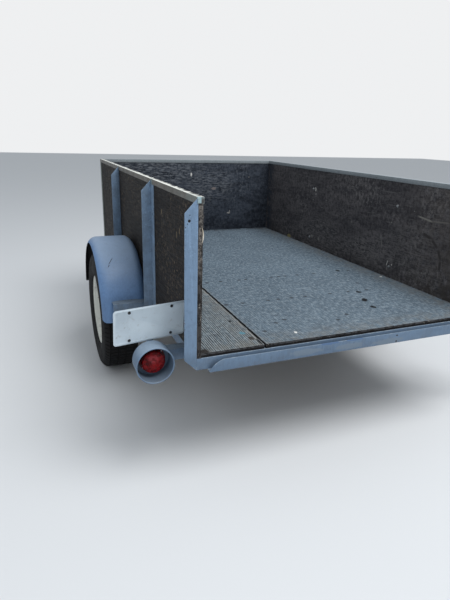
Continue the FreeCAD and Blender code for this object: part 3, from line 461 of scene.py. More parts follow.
def ply_stain(name, run, inner, face, out_sign, worn, marks, strokes=(), borders=(), scratched=0.0):
    """Old dark stain on plywood, rubbed back to pale wood on the high grain and at marks.

    face is the axis through the sheet and the level where its marks lie, as pairs of numbers."""
    f = Finish(name, "ply_stain", Roughness=0.75, Specular_IOR_Level=0.25)
    figure, streak, pores = grain(f, run)
    tone = f.ramp(figure, 0.36, 0.64)
    spots = f.noise(46.0, 7.0, 0.80, (7, 5, 1), (1, 1, 0.8))
    pits = f.times(f.ramp(streak, 0.46, 0.36), 0.55 - 0.4 * scratched)
    pits = f.most(pits, f.times(f.ramp(spots, 0.49, 0.41), 0.7))
    area = f.patches(3.1, 0.42, 0.66, offset=(4, 0, 2), to=(0.25, 1.0))
    highs = f.times(f.ramp(streak, 0.57, 0.70), 0.6 - 0.4 * scratched)
    highs = f.times(f.most(highs, f.times(f.ramp(spots, 0.51, 0.60), 0.7)), area)
    for points, radius, squeeze, share in marks_on(*face, worn):
        rubbed = f.times(f.near(points, radius, squeeze, 1.6), f.ramp(streak, 0.47, 0.60, 0.0, share))
        highs = f.most(highs, rubbed)
    highs = f.most(highs, f.times(f.patches(150.0, 0.70, 0.74, 2.0, offset=(2, 9, 4)), area))
    if scratched:
        level = f.patches(165.0, 0.59, 0.67, 2.0, offset=(1, 1, 6), stretch=run_along(run, 0.06), warp=0.1)
        upright = f.patches(150.0, 0.66, 0.74, 2.0, offset=(4, 4, 4), stretch=run_along("Z", 0.09))
        highs = f.most(highs, f.times(f.most(level, upright), scratched))
    outside = f.ramp(f.times(f.facing(face[0]), float(out_sign)), 0.1, 0.4)
    within = f.bordered(f.toned(tone, pits, highs, inner), borders)
    crust = f.patches(75.0, 0.53, 0.62, 6.0, 0.78, (8, 2, 3), (1, 1, 0.7))
    crust = f.times(crust, f.patches(4.5, 0.40, 0.62, 4.0, to=(0.25, 1.0)))
    colour = f.mix(outside, within, f.toned(tone, pits, crust, OUTER_STAIN))
    drawn = [(in_face(*face, start), in_face(*face, end), *rest) for start, end, *rest in strokes]
    colour = f.laid(colour, marks_on(*face, marks), drawn)
    relief = f.calc("ADD", f.times(pores, 0.7), f.times(streak, 0.6))
    return f.finish(colour, f.ramp(pores, 0.3, 0.7, 0.64, 0.88), relief, 0.0009)


def ply_grey(name, palette, split_share, check_pitch, marks, borders):
    """Deck paint worn thin on plywood, mottled with dust and split into fine checks."""
    f = Finish(name, "ply_grey", Roughness=0.8, Specular_IOR_Level=0.25)
    figure, streak, pores = grain(f, "Y")
    tone = f.times(f.patches(3.4, 0.3, 0.7, 6.0, 0.62), 0.7)
    tone = f.calc("ADD", tone, f.times(f.ramp(figure, 0.35, 0.65), 0.3))
    mottle = f.noise(78.0, 5.0, 0.76, (5, 3, 0), run_along("Y", 0.45))
    pits = f.times(f.ramp(mottle, 0.50, 0.40), 0.46)
    highs = f.times(f.ramp(mottle, 0.50, 0.60), 0.54)
    paint = f.toned(tone, pits, highs, palette)
    bands = f.noise(62.0, 3.0, 0.6, (0, 4, 0), run_along("X", 0.35))
    paint = f.over(paint, f.ramp(bands, 0.58, 0.66), (0.045, 0.056, 0.072), 0.62)
    paint = f.over(paint, f.ramp(bands, 0.41, 0.33), palette[2], 0.50)
    drift = f.times(f.noise(26.0, stretch=run_along("Y", 0.12)), 0.012)
    wave = f.calc("SINE", f.times(f.calc("ADD", f.along("X"), drift), 2 * math.pi / check_pitch))
    broken = f.patches(70.0, 0.38, 0.56, 3.0, 0.65, (6, 1, 0), run_along("Y", 0.12))
    share = f.times(broken, f.ramp(f.along("Y"), -0.10, REAR, split_share * 0.3, split_share))
    split = f.times(f.ramp(wave, 0.0, 0.6), share)
    paint = f.over(paint, split, (0.026, 0.027, 0.028))
    ridge = f.times(f.ramp(wave, -0.2, -0.9), share)
    paint = f.over(paint, ridge, palette[2], 0.8)
    paint = f.laid(f.bordered(paint, borders), marks_on("Z", 0, marks))
    wood = f.toned(f.ramp(figure, 0.36, 0.64), split, f.times(f.ramp(streak, 0.5, 0.7), 0.5), BARE_PLY)
    colour = f.mix(f.ramp(f.facing("Z"), -0.4, -0.1), wood, paint)
    relief = f.calc("SUBTRACT", f.times(mottle, 0.8), split)
    return f.finish(colour, f.ramp(pores, 0.3, 0.7, 0.70, 0.92), relief, 0.0012)


def ply_edge(name, axis, box, wood=(0.092, 0.084, 0.080), lower_shade=0.0):
    """Raw weathered end of the sheet: its plies in turn grey face grain and dark end grain.

    wood is the paler ply, and the last argument is how far the lower half is painted black, a painted shade
    of the gap under the sheet's edge."""
    low, high = (corner["XYZ".index(axis)] for corner in box)
    thickness = high - low
    f = Finish(name, "ply_stain", Roughness=0.9, Specular_IOR_Level=0.15)
    depth = f.calc("SUBTRACT", f.along(axis), low)
    layer = f.calc("ADD", f.times(depth, PLIES / thickness), f.times(f.noise(30.0), 0.5))
    band = f.ramp(f.calc("PINGPONG", layer, 1.0), 0.35, 0.65)
    colour = f.mix(band, (0.021, 0.019, 0.019), wood)
    colour = f.over(colour, f.patches(70.0, 0.45, 0.65, 5.0, 0.7), (0.060, 0.056, 0.056), 0.5)
    high_up = f.ramp(f.along("Z"), 0.22, 0.46, 0.0, 0.85)
    bleached = f.patches(85.0, 0.46, 0.58, 5.0, 0.75, (1, 1, 5))
    colour = f.over(colour, bleached, (0.230, 0.210, 0.190), high_up)
    dirty = f.patches(34.0, 0.46, 0.60, 5.0, 0.7, (3, 3, 3))
    colour = f.over(colour, dirty, (0.014, 0.012, 0.012), 0.8)
    pale = f.patches(58.0, 0.64, 0.70, 4.0, offset=(8, 1, 3))
    colour = f.over(colour, pale, (0.27, 0.25, 0.22), 0.8)
    # painted shade: the lower half of the edge darkens to black
    lower = f.ramp(depth, thickness * 0.56, thickness * 0.42, 0.0, lower_shade)
    colour = f.over(colour, lower, (0.010, 0.009, 0.009))
    return f.finish(colour, None, f.calc("ADD", band, f.noise(160.0, 4.0)), 0.0008)


def rubber():
    f = Finish("tyre_rubber", "tyre", Roughness=0.85, Specular_IOR_Level=0.18)
    dust = f.patches(12.0, 0.4, 0.7, 5.0, 0.65)
    colour = f.over((0.005, 0.005, 0.006), dust, (0.020, 0.018, 0.016), 0.5)
    return f.finish(colour, f.ramp(dust, 0.0, 1.0, 0.68, 0.92), f.noise(420.0), 0.0003)


def cream_paint():
    f = Finish("wheel_paint", Roughness=0.45, Specular_IOR_Level=0.45)
    tone = f.patches(7.0, 0.35, 0.7, 5.0, 0.6)
    colour = f.mix(tone, (0.66, 0.67, 0.63), (0.78, 0.78, 0.73))
    dirt = f.patches(24.0, 0.5, 0.7, 6.0, 0.7, (2, 2, 8))
    colour = f.over(colour, dirt, (0.22, 0.20, 0.17), 0.35)
    rust = f.patches(70.0, 0.665, 0.70, 5.0, 0.65, (5, 1, 2))
    colour = f.over(colour, rust, (0.11, 0.045, 0.02))
    return f.finish(colour, f.ramp(dirt, 0.0, 1.0, 0.38, 0.7), f.noise(130.0), 0.0002)


def metal(name, slot, colour, rust, roughness, metallic):
    """Bare, plated or black-painted steel with dull patches and rust."""
    f = Finish(name, slot, Roughness=roughness, Metallic=metallic)
    tone = f.patches(11.0, 0.3, 0.7, 5.0, 0.6)
    skin = f.mix(tone, shaded(colour, 0.72), shaded(colour, 1.15))
    spots = f.patches(44.0, 0.70 - rust * 0.22, 0.78 - rust * 0.2, 6.0, 0.7, (1, 4, 2))
    stain = f.mix(f.patches(160.0, 0.3, 0.7), (0.055, 0.026, 0.014), (0.16, 0.072, 0.032))
    rough = f.patches(30.0, 0.3, 0.7, 4.0, to=(roughness * 0.8, min(1.0, roughness * 1.3)))
    return f.finish(f.over(skin, spots, stain), rough, f.noise(240.0, 4.0), 0.0002)


def red_lens():
    gloss = {"Coat_Weight": 0.12, "Coat_Roughness": 0.06, "Specular_IOR_Level": 0.10}
    f = Finish("lens_red", "red_lens", Roughness=0.3, **gloss)
    # the lens's blotchy red tone is partly painted highlight, standing in for the uneven glints of its
    # facets
    tone = f.patches(60.0, 0.38, 0.62, 4.0)
    colour = f.mix(tone, (0.062, 0.0008, 0.0016), (0.200, 0.0030, 0.0050))
    # painted highlight: a pale pink glow above the middle of each lens stands for the reflection on its
    # dome
    painted_glint_centres = [middle(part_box("lamp_lens_" + side)) + Vector((0, 0, 0.018)) for side, _ in SIDES]
    glint_speckle = f.patches(80.0, 0.40, 0.60, 2.0, to=(0.15, 0.7))
    colour = f.over(colour, f.near(painted_glint_centres, 0.022, (1, 0, 1.4), 1.8), (0.34, 0.050, 0.060), glint_speckle)
    dust = f.patches(90.0, 0.52, 0.75, 5.0, 0.7)
    colour = f.over(colour, dust, (0.22, 0.10, 0.09), 0.03)
    return f.finish(colour, f.ramp(dust, 0.0, 1.0, 0.24, 0.42))


def plate_white():
    f = Finish("plate_white", "plate_white", Roughness=0.4, Specular_IOR_Level=0.5)
    # the white is tinted blue, painted sky light on the plate
    colour = f.mix(f.patches(9.0, 0.3, 0.7, 5.0), (0.52, 0.60, 0.66), (0.62, 0.71, 0.77))
    grime = f.patches(38.0, 0.54, 0.74, 6.0, 0.72, (2, 6, 1))
    colour = f.over(colour, grime, (0.24, 0.21, 0.17), 0.45)
    return f.finish(colour, f.ramp(grime, 0.0, 1.0, 0.32, 0.7))


def pale_wood():
    f = Finish("bare_veneer", "ply_stain", Roughness=0.7, Specular_IOR_Level=0.3)
    tone = f.patches(120.0, 0.35, 0.65, 4.0, stretch=run_along("Z", 0.1))
    return f.finish(f.mix(tone, (0.42, 0.36, 0.28), (0.72, 0.68, 0.60)))


# The looks in use
def marked_steel():
    """The frame's paint, with smudges on the left rear corner post and the sill, and painted shade on the
    steel ahead of the rear end.
    """
    marks = marks_on("Y", REAR, [
        ([(-0.802, 0.518), (-0.809, 0.505), (-0.793, 0.549)], 0.0030, (1, 1), (0.020, 0.024, 0.030)),
    ])
    marks += marks_on("Y", SILL_FACE, [
        ([(0.166, -0.060), (-0.275, -0.050), (-0.048, -0.054)], 0.020, (0.18, 1), (0.150, 0.198, 0.255)),
        ([(-0.025, -0.024), (-0.157, -0.025)], 0.010, (0.15, 1), (0.085, 0.145, 0.260)),
        ([(0.214, -0.037), (0.214, -0.066)], 0.006, (0.8, 1), (0.030, 0.030, 0.034)),
    ])
    return steel_paint(
        "paint_blue_grey", (0.160, 0.240, 0.350), dust=0.32, edge=(0.40, 0.45, 0.48), flecks=0.55,
        # painted shade: the steel ahead of the rear end is darkened, as it lies sheltered from the light
        borders=[("Y", -1.12, -1.02, 0.42, (0.080, 0.100, 0.120))], marks=marks,
    )


STEEL = marked_steel()
FENDER = steel_paint(
    "paint_fender", (0.116, 0.210, 0.380), chips=0.25, dust=0.12, painted_top_light=0.38,
    strokes=[((-0.925, -0.258, 0.172), (-0.958, -0.303, 0.140), 0.005, (0.060, 0.072, 0.095)),
             ((-0.950, -0.298, 0.143), (-0.968, -0.325, 0.123), 0.006, (0.026, 0.032, 0.046))],
)
FRONT_POSTS = steel_paint("paint_front_posts", (0.120, 0.135, 0.125), dust=0.3)
# painted shade: the fenders' inner faces are near black, standing in for the shade inside them
FENDER_INSIDE_SHADE = steel_paint("paint_fender_inside_shade", (0.020, 0.020, 0.022), chips=0.6, painted_top_light=0.0)
# painted shade: a darker copy of the frame's blue-grey for the inside of the lamp cans
CAN_INSIDE_SHADED = steel_paint("paint_can_inside_shaded", (0.110, 0.165, 0.240), chips=0.6, painted_top_light=0.2)
CAP = steel_paint("paint_cap", (0.215, 0.240, 0.255), dust=0.0, painted_top_light=0.6, flecks=0.4)
CAP_WORN = steel_paint(
    "paint_cap_worn", (0.130, 0.120, 0.105), chips=1.4, dust=0.0, painted_top_light=1.0,
    top=(0.78, 0.78, 0.72), flecks=0.5,
    marks=[([(-0.768, y, 0.600) for y in POST_TIPS_Y], 0.020, (1, 1, 0.7), (0.150, 0.195, 0.195))],
    borders=[("Y", -0.70, -1.19, 0.55, (0.190, 0.225, 0.215)),
             ("Y", REAR + 0.012, REAR, 1.4, (0.33, 0.45, 0.48)),
             ("X", -0.7535, -0.7500, 1.3, (0.070, 0.068, 0.064))],
)
RUBBER = rubber()
CREAM = cream_paint()
HUB = metal("cast_hub", "bare_steel", (0.10, 0.095, 0.09), 0.6, 0.6, 0.6)
ZINC = metal("zinc_plate", "zinc", (0.44, 0.45, 0.46), 0.25, 0.42, 0.85)
DARK_BOLT = metal("dark_bolt", "zinc", (0.035, 0.035, 0.038), 0.2, 0.5, 0.5)
BLACK_STEEL = metal("chassis_black", "black_paint", (0.022, 0.022, 0.024), 0.4, 0.6, 0.0)
SPRING = metal("spring_rust", "spring_steel", (0.060, 0.050, 0.045), 0.75, 0.75, 0.3)
LENS = red_lens()
PLATE = plate_white()


# Mesh helpers
def object_from(name, shape, *looks, body="chassis", smooth=35.0):
    """An object in one or two looks."""
    mesh = bpy.data.meshes.new(name)
    bmesh.ops.recalc_face_normals(shape, faces=shape.faces)
    shape.to_mesh(mesh)
    shape.free()
    for material, _ in looks:
        mesh.materials.append(material)
    mesh.shade_smooth()
    mesh.set_sharp_from_angle(angle=math.radians(smooth))
    made = bpy.data.objects.new(name, mesh)
    bpy.context.collection.objects.link(made)
    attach(made, body)
    return made


def round_edges(shape, width, sharpest=28.0):
    """Bevels the sharp edges and marks the new faces, where paint wears first."""
    wear = shape.faces.layers.float.new("wear")
    sharp = [
        e for e in shape.edges
        if len(e.link_faces) == 2 and e.calc_face_angle(0) > math.radians(sharpest)
    ]
    made = bmesh.ops.bevel(
        shape, geom=sharp, offset=width, offset_type="OFFSET", segments=2, profile=0.5,
        affect="EDGES", clamp_overlap=True,
    )
    for face in made["faces"]:
        face[wear] = 1.0


def dressed(node, look, width=BEVEL, lining=None, is_lining=None):
    """A copy of a CAD node with rounded edges, standing in its place.

    The faces that is_lining picks get the lining's look."""
    shape = bmesh.new()
    shape.from_mesh(frame["nodes"][node].data)
    bmesh.ops.remove_doubles(shape, verts=shape.verts, dist=0.00001)
    bmesh.ops.dissolve_limit(
        shape, angle_limit=math.radians(0.5), verts=shape.verts, edges=shape.edges
    )
    round_edges(shape, width)
    for face in shape.faces:
        face.material_index = 1 if lining and is_lining(face) else 0
    looks = (look, lining) if lining else (look,)
    made = object_from(node + "_dressed", shape, *looks, body=frame["nodes"][node]["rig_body"])
    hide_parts(node)


def turned_in(centre, axis):
    """Tells the faces that look towards an axis through the centre from those that look away."""
    def faces_in(face):
        out = face.calc_center_median() - centre
        out = out - axis * out.dot(axis)
        return face.normal.dot(out) < -0.05 * out.length

    return faces_in


def paint(node, look):
    """Gives a look to a CAD node that keeps its own shape."""
    data = frame["nodes"][node].data
    data.materials.clear()
    data.materials.append(look[0])


def across(axis):
    """An axis and two directions square to it and to each other, each of length 1."""
    axis = Vector(axis).normalized()
    first = axis.orthogonal().normalized()
    return axis, first, axis.cross(first)


def even_turns(count):
    return [2 * math.pi * k / count for k in range(count)]


def circle(shape, centre, u, v, radius, sides):
    """Corners of a ring round a centre, in the plane of two directions."""
    return [
        shape.verts.new(centre + u * (radius * math.cos(a)) + v * (radius * math.sin(a)))
        for a in even_turns(sides)
    ]


def skin(shape, rings, closed=False):
    """Faces between rings of corners. The ends get a face each, or else meet each other."""
    following = rings[1:] + rings[:1] if closed else rings[1:]
    for first, second in zip(rings, following):
        for n in range(len(first)):
            m = (n + 1) % len(first)
            shape.faces.new((first[n], first[m], second[m], second[n]))
    if not closed:
        shape.faces.new(rings[0][::-1])
        shape.faces.new(rings[-1])


def add_prism(shape, start, end, radius, sides, end_radius=None):
    """Closed prism or cone frustum between two points."""
    start, end = Vector(start), Vector(end)
    _, u, v = across(end - start)
    ends = ((start, radius), (end, end_radius or radius))
    skin(shape, [circle(shape, centre, u, v, r, sides) for centre, r in ends])


def add_box(shape, low, high):
    size = Vector(high) - Vector(low)
    for vert in bmesh.ops.create_cube(shape, size=1.0)["verts"]:
        vert.co = vert.co * size + middle((Vector(high), Vector(low)))


def add_bolt(shape, point, axis, radius, washer=True):
    """Hex head on its washer, standing on a surface at the point."""
    axis = Vector(axis).normalized()
    base = Vector(point) - axis * 0.0005
    if washer:
        add_prism(shape, base, base + axis * 0.002, radius * 2.3, 24)
        base = base + axis * 0.0019
    add_prism(shape, base, base + axis * radius * 1.25, radius * 1.85, 6)
    top = base + axis * radius * 1.24
    add_prism(shape, top, top + axis * radius * 0.18, radius * 1.6, 24, radius * 1.3)


def add_weld(shape, start, end):
    """Rippled bead laid along a line, its tail and end tapered."""
    start = Vector(start)
    run = Vector(end) - start
    _, u, v = across(run)
    steps = max(4, int(run.length / 0.0022))
    rings = []
    for k in range(steps + 1):
        share = k / steps
        centre = start + run * share
        taper = min(1.0, 6.0 * min(share, 1 - share) + 0.25)
        ripple = 1.0 if k % 2 else 0.84
        wander = 1.0 + 0.18 * noise.noise(centre * 90.0)
        rings.append(circle(shape, centre, u, v, WELD_RADIUS * taper * ripple * wander, 7))
    skin(shape, rings)


def turned(section, centre, axis, stations, dent=None):
    """Closed loop of (along, radius) points turned about an axis. dent gives extra radius."""
    axis, u, v = across(axis)
    shape = bmesh.new()
    rings = []
    for turn in stations:
        spoke = u * math.cos(turn) + v * math.sin(turn)
        ring = []
        for number, (a, r) in enumerate(section):
            extra = dent(number, turn) if dent else 0.0
            ring.append(shape.verts.new(Vector(centre) + axis * a + spoke * (r + extra)))
        rings.append(ring)
    skin(shape, rings, closed=True)
    bmesh.ops.remove_doubles(shape, verts=shape.verts, dist=0.000001)
    return shape


# Plywood
def chip(at, seed, size):
    """How far the edge has broken back at a place along it."""
    slow = noise.noise(Vector((at * 9.0, seed, 0.3)))
    fast = noise.noise(Vector((at * 60.0, seed, 1.7)))
    deep = max(0.0, slow - 0.05) * size * 2.2
    return abs(fast) * size * 0.35 + deep * (0.5 + abs(fast))


def panel(name, box, thin, run, looks, size):
    """Plywood sheet whose rear end has its plies broken back by different amounts.

    thin is the axis through the sheet and run the one along the broken end."""
    low, high = box
    shape = bmesh.new()
    count = int((high[run] - low[run]) / CHIP_STEP)
    depths = [0.0] + [k / PLIES for k in range(PLIES + 1)] + [1.0]
    last = len(depths) - 1

    def corner(through, rearward, along):
        place = [0.0, rearward, 0.0]
        place[thin] = low[thin] + (high[thin] - low[thin]) * through
        place[run] = along
        return shape.verts.new(place)

    def broken_back(number, along):
        seed = number * 3.1 + low[thin]
        if number in (0, last):
            return CHIP_REACH
        if number in (1, last - 1):
            return min(CHIP_REACH * 0.9, chip(along, seed, size))
        return chip(along, seed, size * 0.3)

    rows = []
    for k in range(count + 1):
        along = low[run] + (high[run] - low[run]) * k / count
        rows.append([corner(t, low.y + broken_back(n, along), along) for n, t in enumerate(depths)])
    ends = [[corner(t, high.y, low[run]), corner(t, high.y, high[run])] for t in (0.0, 1.0)]
    for first, second in zip(rows, rows[1:]):
        for n in range(last):
            face = shape.faces.new((first[n], first[n + 1], second[n + 1], second[n]))
            face.material_index = 0 if n in (0, last - 1) else 1
    shape.faces.new([row[0] for row in rows] + ends[0][::-1])
    shape.faces.new([row[last] for row in rows] + ends[1][::-1])
    sides = [rows[pick] + [ends[1][pick], ends[0][pick]] for pick in (0, -1)]
    for corners in sides + [ends[0] + ends[1][::-1]]:
        shape.faces.new(corners).material_index = 1
    return object_from(name, shape, *looks, smooth=20.0)


def add_splinter(shape, base, way, length, width):
    """Thin tapered sliver standing off an edge."""
    way, u, v = across(way)
    foot = [base + u * width, base - u * width * 0.6 + v * width * 0.5, base - v * width * 0.5]
    verts = [shape.verts.new(p) for p in foot + [base + way * length]]
    for trio in ((0, 1, 2), (0, 1, 3), (1, 2, 3), (2, 0, 3)):
        shape.faces.new([verts[n] for n in trio])


def splinters(name, box, edge_x, inward, look, seed):
    """Slivers lifted off a wall's rear edge, on the side that faces the bed."""
    dice = random.Random(seed)
    shape = bmesh.new()
    low, high = box
    for _ in range(SPLINTERS):
        z = dice.uniform(low.z + 0.05, high.z - 0.06)
        base = Vector((edge_x, low.y + dice.uniform(0.001, 0.008), z))
        way = (inward * dice.uniform(0.05, 0.5), dice.uniform(-0.25, 0.3), dice.choice((-1, 1)))
        add_splinter(shape, base, way, dice.uniform(0.008, 0.034), dice.uniform(0.0006, 0.0014))
    object_from(name, shape, look, smooth=20.0)


def add_peel(shape, points, width, steps=12):
    """Bent strip of veneer through three points, tapered to both ends."""
    start, bend, end = (Vector(p) for p in points)
    rings = []
    for k in range(steps + 1):
        share = k / steps
        centre = start * (1 - share) ** 2 + bend * 2 * share * (1 - share) + end * share ** 2
        half = width / 2 * (math.sin(math.pi * (0.06 + 0.88 * share)) ** 0.6)
        corners = ((-half, 0.0), (0.0, -0.0005), (half, 0.0), (0.0, 0.0005))
        rings.append([shape.verts.new(centre + Vector((x, y, 0))) for x, y in corners])
    skin(shape, rings)


def left_stain():
    return ply_stain(
        "stain_left", "Y", INNER_STAIN, ("X", WALL_LEFT[0].x), -1,
        [([(-1.03, 0.575)], 0.10, (0.8, 2.2), 0.9),
         ([(0.60, 0.30)], 0.25, (0.5, 1), 0.5)],
        [([(-0.945, 0.423), (-0.983, 0.443)], 0.006, (1, 0.3), TAN),
         ([(-0.698, 0.483)], 0.008, (1, 0.5), TAN),
         ([(0.243, 0.347)], 0.006, (0.6, 1), TAN)],
    )


def right_stain():
    """The marks stand where the old trailer shows them, with the scraped arc along its strokes."""
    grey = shaded(WHITE, 0.45)
    turns = (0.15, 0.55, 0.95, 1.35, 1.75)
    arc = [(-0.735 - 0.195 * math.sin(a), 0.170 + 0.160 * math.cos(a)) for a in turns]
    return ply_stain(
        "stain_right", "Y", INNER_STAIN, ("X", WALL_RIGHT[0].x), 1,
        [([(0.25, 0.08)], 0.16, (0.4, 1), 0.5),
         ([(-0.35, 0.12)], 0.14, (0.5, 1), 0.45),
         ([(-0.70, 0.215)], 0.16, (0.8, 1), 0.35)],
        [([(0.383, 0.447)], 0.011, (0.7, 0.5), WHITE),
         ([(0.374, 0.411)], 0.006, (1, 0.5), WHITE),
         ([(-0.557, 0.086)], 0.006, (1, 1), shaded(WHITE, 1.4)),
         ([(-0.545, 0.116), (-0.677, 0.437), (-0.278, 0.110)], 0.005, (1, 1), grey),
         ([(-0.177, 0.148), (-0.200, 0.136), (-0.130, 0.112), (-0.284, 0.110), (-0.104, 0.277),
           (-0.502, 0.342), (0.275, 0.322), (0.401, 0.364), (0.228, 0.382)],
          0.005, (0.6, 1), shaded(WHITE, 0.5)),
         ([(-0.716, 0.081), (-0.781, 0.096), (-0.808, 0.103), (-0.835, 0.107), (-0.862, 0.111)],
          0.0055, (1, 1), grey),
         ([(0.740, 0.012)], 0.022, (0.5, 1), (0.22, 0.19, 0.09)),
         ([(0.380, 0.083), (0.282, 0.079)], 0.012, (0.6, 0.7), grey)],
        [((-0.700, 0.417), (-0.835, 0.399), 0.009, (0.20, 0.19, 0.17)),
         ((-0.815, 0.402), (-0.950, 0.414), 0.007, (0.13, 0.12, 0.11)),
         ((-0.518, 0.108), (-0.510, 0.068), 0.007, WHITE),
         ((-0.510, 0.074), (-0.524, 0.040), 0.006, grey),
         ((-0.419, 0.254), (-0.450, 0.160), 0.006, shaded(WHITE, 0.4)),
         *[(a, b, 0.015, (0.038, 0.034, 0.033)) for a, b in zip(arc, arc[1:])]],
        [("Z", 0.12, 0.0, 0.55, (0.022, 0.020, 0.022)),
         ("Y", 1.06, 1.15, 0.95, (0.026, 0.034, 0.048)),
         ("Y", -0.45, -0.95, 0.35, (0.075, 0.062, 0.052)),
         ("Y", -0.92, -0.99, 0.50, (0.042, 0.036, 0.032))],
        0.30,
    )


def front_stain():
    return ply_stain(
        "stain_front", "X", BLUE_STAIN, ("Y", WALL_FRONT[0].y), 1,
        [([(-0.42, 0.50)], 0.30, (0.5, 2.0), 1.0),
         ([(0.15, 0.40)], 0.18, (0.7, 1.2), 0.8),
         ([(-0.20, 0.30)], 0.26, (0.6, 1.2), 0.5)],
        [([(-0.003, 0.491)], 0.010, (1, 0.5), shaded(WHITE, 1.4)),
         ([(0.206, 0.370)], 0.016, (0.5, 1), (0.17, 0.145, 0.14)),
         ([(0.356, 0.151)], 0.010, (0.5, 1), shaded(WHITE, 0.7)),
         ([(0.366, 0.165)], 0.007, (1.5, 0.5), shaded(WHITE, 0.7)),
         ([(0.545, 0.468)], 0.006, (1, 1), shaded(WHITE, 0.7))],
    )


def deck_sheet():
    """Deck paint of the wide sheet, with dark rings round its screws."""
    deep = [(0.518, -0.317), (0.371, -0.736), (0.325, -0.855), (0.309, -0.872), (0.289, -0.970)]
    faint = [(x, y) for y, row in SCREW_ROWS for x in row]
    faint += [(-0.399, -1.088), (-0.303, -1.013), (-0.246, -0.989), (0.473, -0.589)]
    faint += [(0.086, -1.020), (0.004, -1.068)]
    seam = FLOOR_SHEET[0].x
    return ply_grey(
        "deck_sheet", SHEET_PAINT, 0.32, 0.0115,
        [(deep, 0.017, (0.8, 0.7), DARK),
         (faint, 0.011, (0.65, 0.75), (0.045, 0.054, 0.066)),
         ([(0.711, -0.512), (-0.271, -1.141)], 0.010, (1, 0.7), (0.66, 0.65, 0.62))],
        [("X", 0.56, 0.74, 0.50, DUST),
         ("Y", -1.06, -1.215, 0.45, DUST),
         # darker towards the foot of the front wall
         ("Y", 1.10, 1.19, 0.75, WALL_FOOT_DARK),
         # the seam's edges: a pale line of worn paint and painted highlight, then painted shade beside the
         # gap
         ("X", seam + 0.016, seam + 0.006, 0.50, (0.25, 0.27, 0.27)),
         ("X", seam + 0.0045, seam + 0.0015, 1.6, SEAM_SHADE)],
    )


def deck_strip():
    seam = FLOOR_SHEET[0].x
    edge = FLOOR_STRIP[1].x
    return ply_grey(
        "deck_strip", STRIP_PAINT, 1.0, 0.0095,
        [([(-0.502, -0.931)], 0.008, (0.8, 0.6), DARK),
         ([(-0.503, -1.076)], 0.014, (0.8, 0.6), (0.10, 0.22, 0.27)),
         ([(-0.489, -1.139)], 0.014, (0.8, 0.5), (0.050, 0.046, 0.042)),
         ([(-0.470, -1.185)], 0.006, (1, 0.12), DARK),
         ([(-0.728, -1.205)], 0.026, (0.7, 0.7), (0.026, 0.023, 0.021))],
        [("X", -0.60, seam - 0.02, 0.40, DUST),
         ("Y", -1.12, -1.215, 0.50, DUST),
         ("X", -0.69, -0.742, 0.40, WALL_FOOT_DARK),
         # the seam's edge: a pale line of worn paint and painted highlight, then painted shade beside the
         # gap
         ("X", edge - 0.014, edge - 0.006, 0.85, (0.30, 0.29, 0.27)),
         ("X", edge - 0.0045, edge - 0.0015, 1.6, SEAM_SHADE)],
    )


def make_bed():
    walls = (
        ("left", WALL_LEFT, WALL_LEFT[1].x, 1, left_stain()),
        ("right", WALL_RIGHT, WALL_RIGHT[0].x, -1, right_stain()),
    )
    front = front_stain()
    floors = (("floor_sheet", FLOOR_SHEET, deck_sheet()), ("floor_strip", FLOOR_STRIP, deck_strip()))
    for side, box, inside, inward, stain in walls:
        edge = ply_edge("wall_edge_" + side, "X", box)
        made = panel("wall_" + side + "_sheet", box, 0, 2, (stain, edge), 0.006)
        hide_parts("wall_" + side)
        splinters("wall_" + side + "_splinters", box, inside, inward, edge, 5 + inward)
    peel = bmesh.new()
    inside = WALL_LEFT[1].x
    lifted = ((-0.004, 0.0010, 0.503), (0.006, -0.0012, 0.474), (-0.003, 0.0010, 0.446))
    add_peel(peel, [(inside + x, REAR + y, z) for x, y, z in lifted], 0.0045)
    object_from("wall_left_peel", peel, pale_wood())
    dressed("wall_front", front, 0.0008)
    for node, box, deck in floors:
        # the floors' edges get their lower half painted black as shade
        edge = ply_edge(node + "_edge", "Z", box, (0.110, 0.112, 0.120), 0.9)
        made = panel(node + "_panel", box, 2, 0, (deck, edge), 0.004)
        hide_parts(node)


def make_steel():
    plain = ("frame_rail_left", "frame_rail_right", "sill_rear", "sill_front", "crossmembers",
             "tailgate_channel", "posts_left", "posts_right", "fender_brackets",
             "lamp_bracket_left", "lamp_bracket_right", "plate_bracket", "tongue_left", "tongue_right")
    for node in plain:
        dressed(node, STEEL)
    dressed("posts_front", FRONT_POSTS)
    for node, look in (("cap_left", CAP_WORN), ("cap_right", CAP), ("cap_front", CAP)):
        dressed(node, look, 0.0009)
    for side, _ in SIDES:
        inside = turned_in(Vector((0, AXLE.y, FENDER_AXIS_Z)), Vector((1, 0, 0)))
        # the faces turned in towards the wheel get the near-black painted shade
        dressed("fender_" + side, FENDER, 0.0006, FENDER_INSIDE_SHADE, inside)
        inside = turned_in(middle(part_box("lamp_can_" + side)), Vector((0, 1, 0)))
        # the faces inside the can take the darker, painted-shade copy of the paint
        dressed("lamp_can_" + side, STEEL, 0.0008, CAN_INSIDE_SHADED, inside)


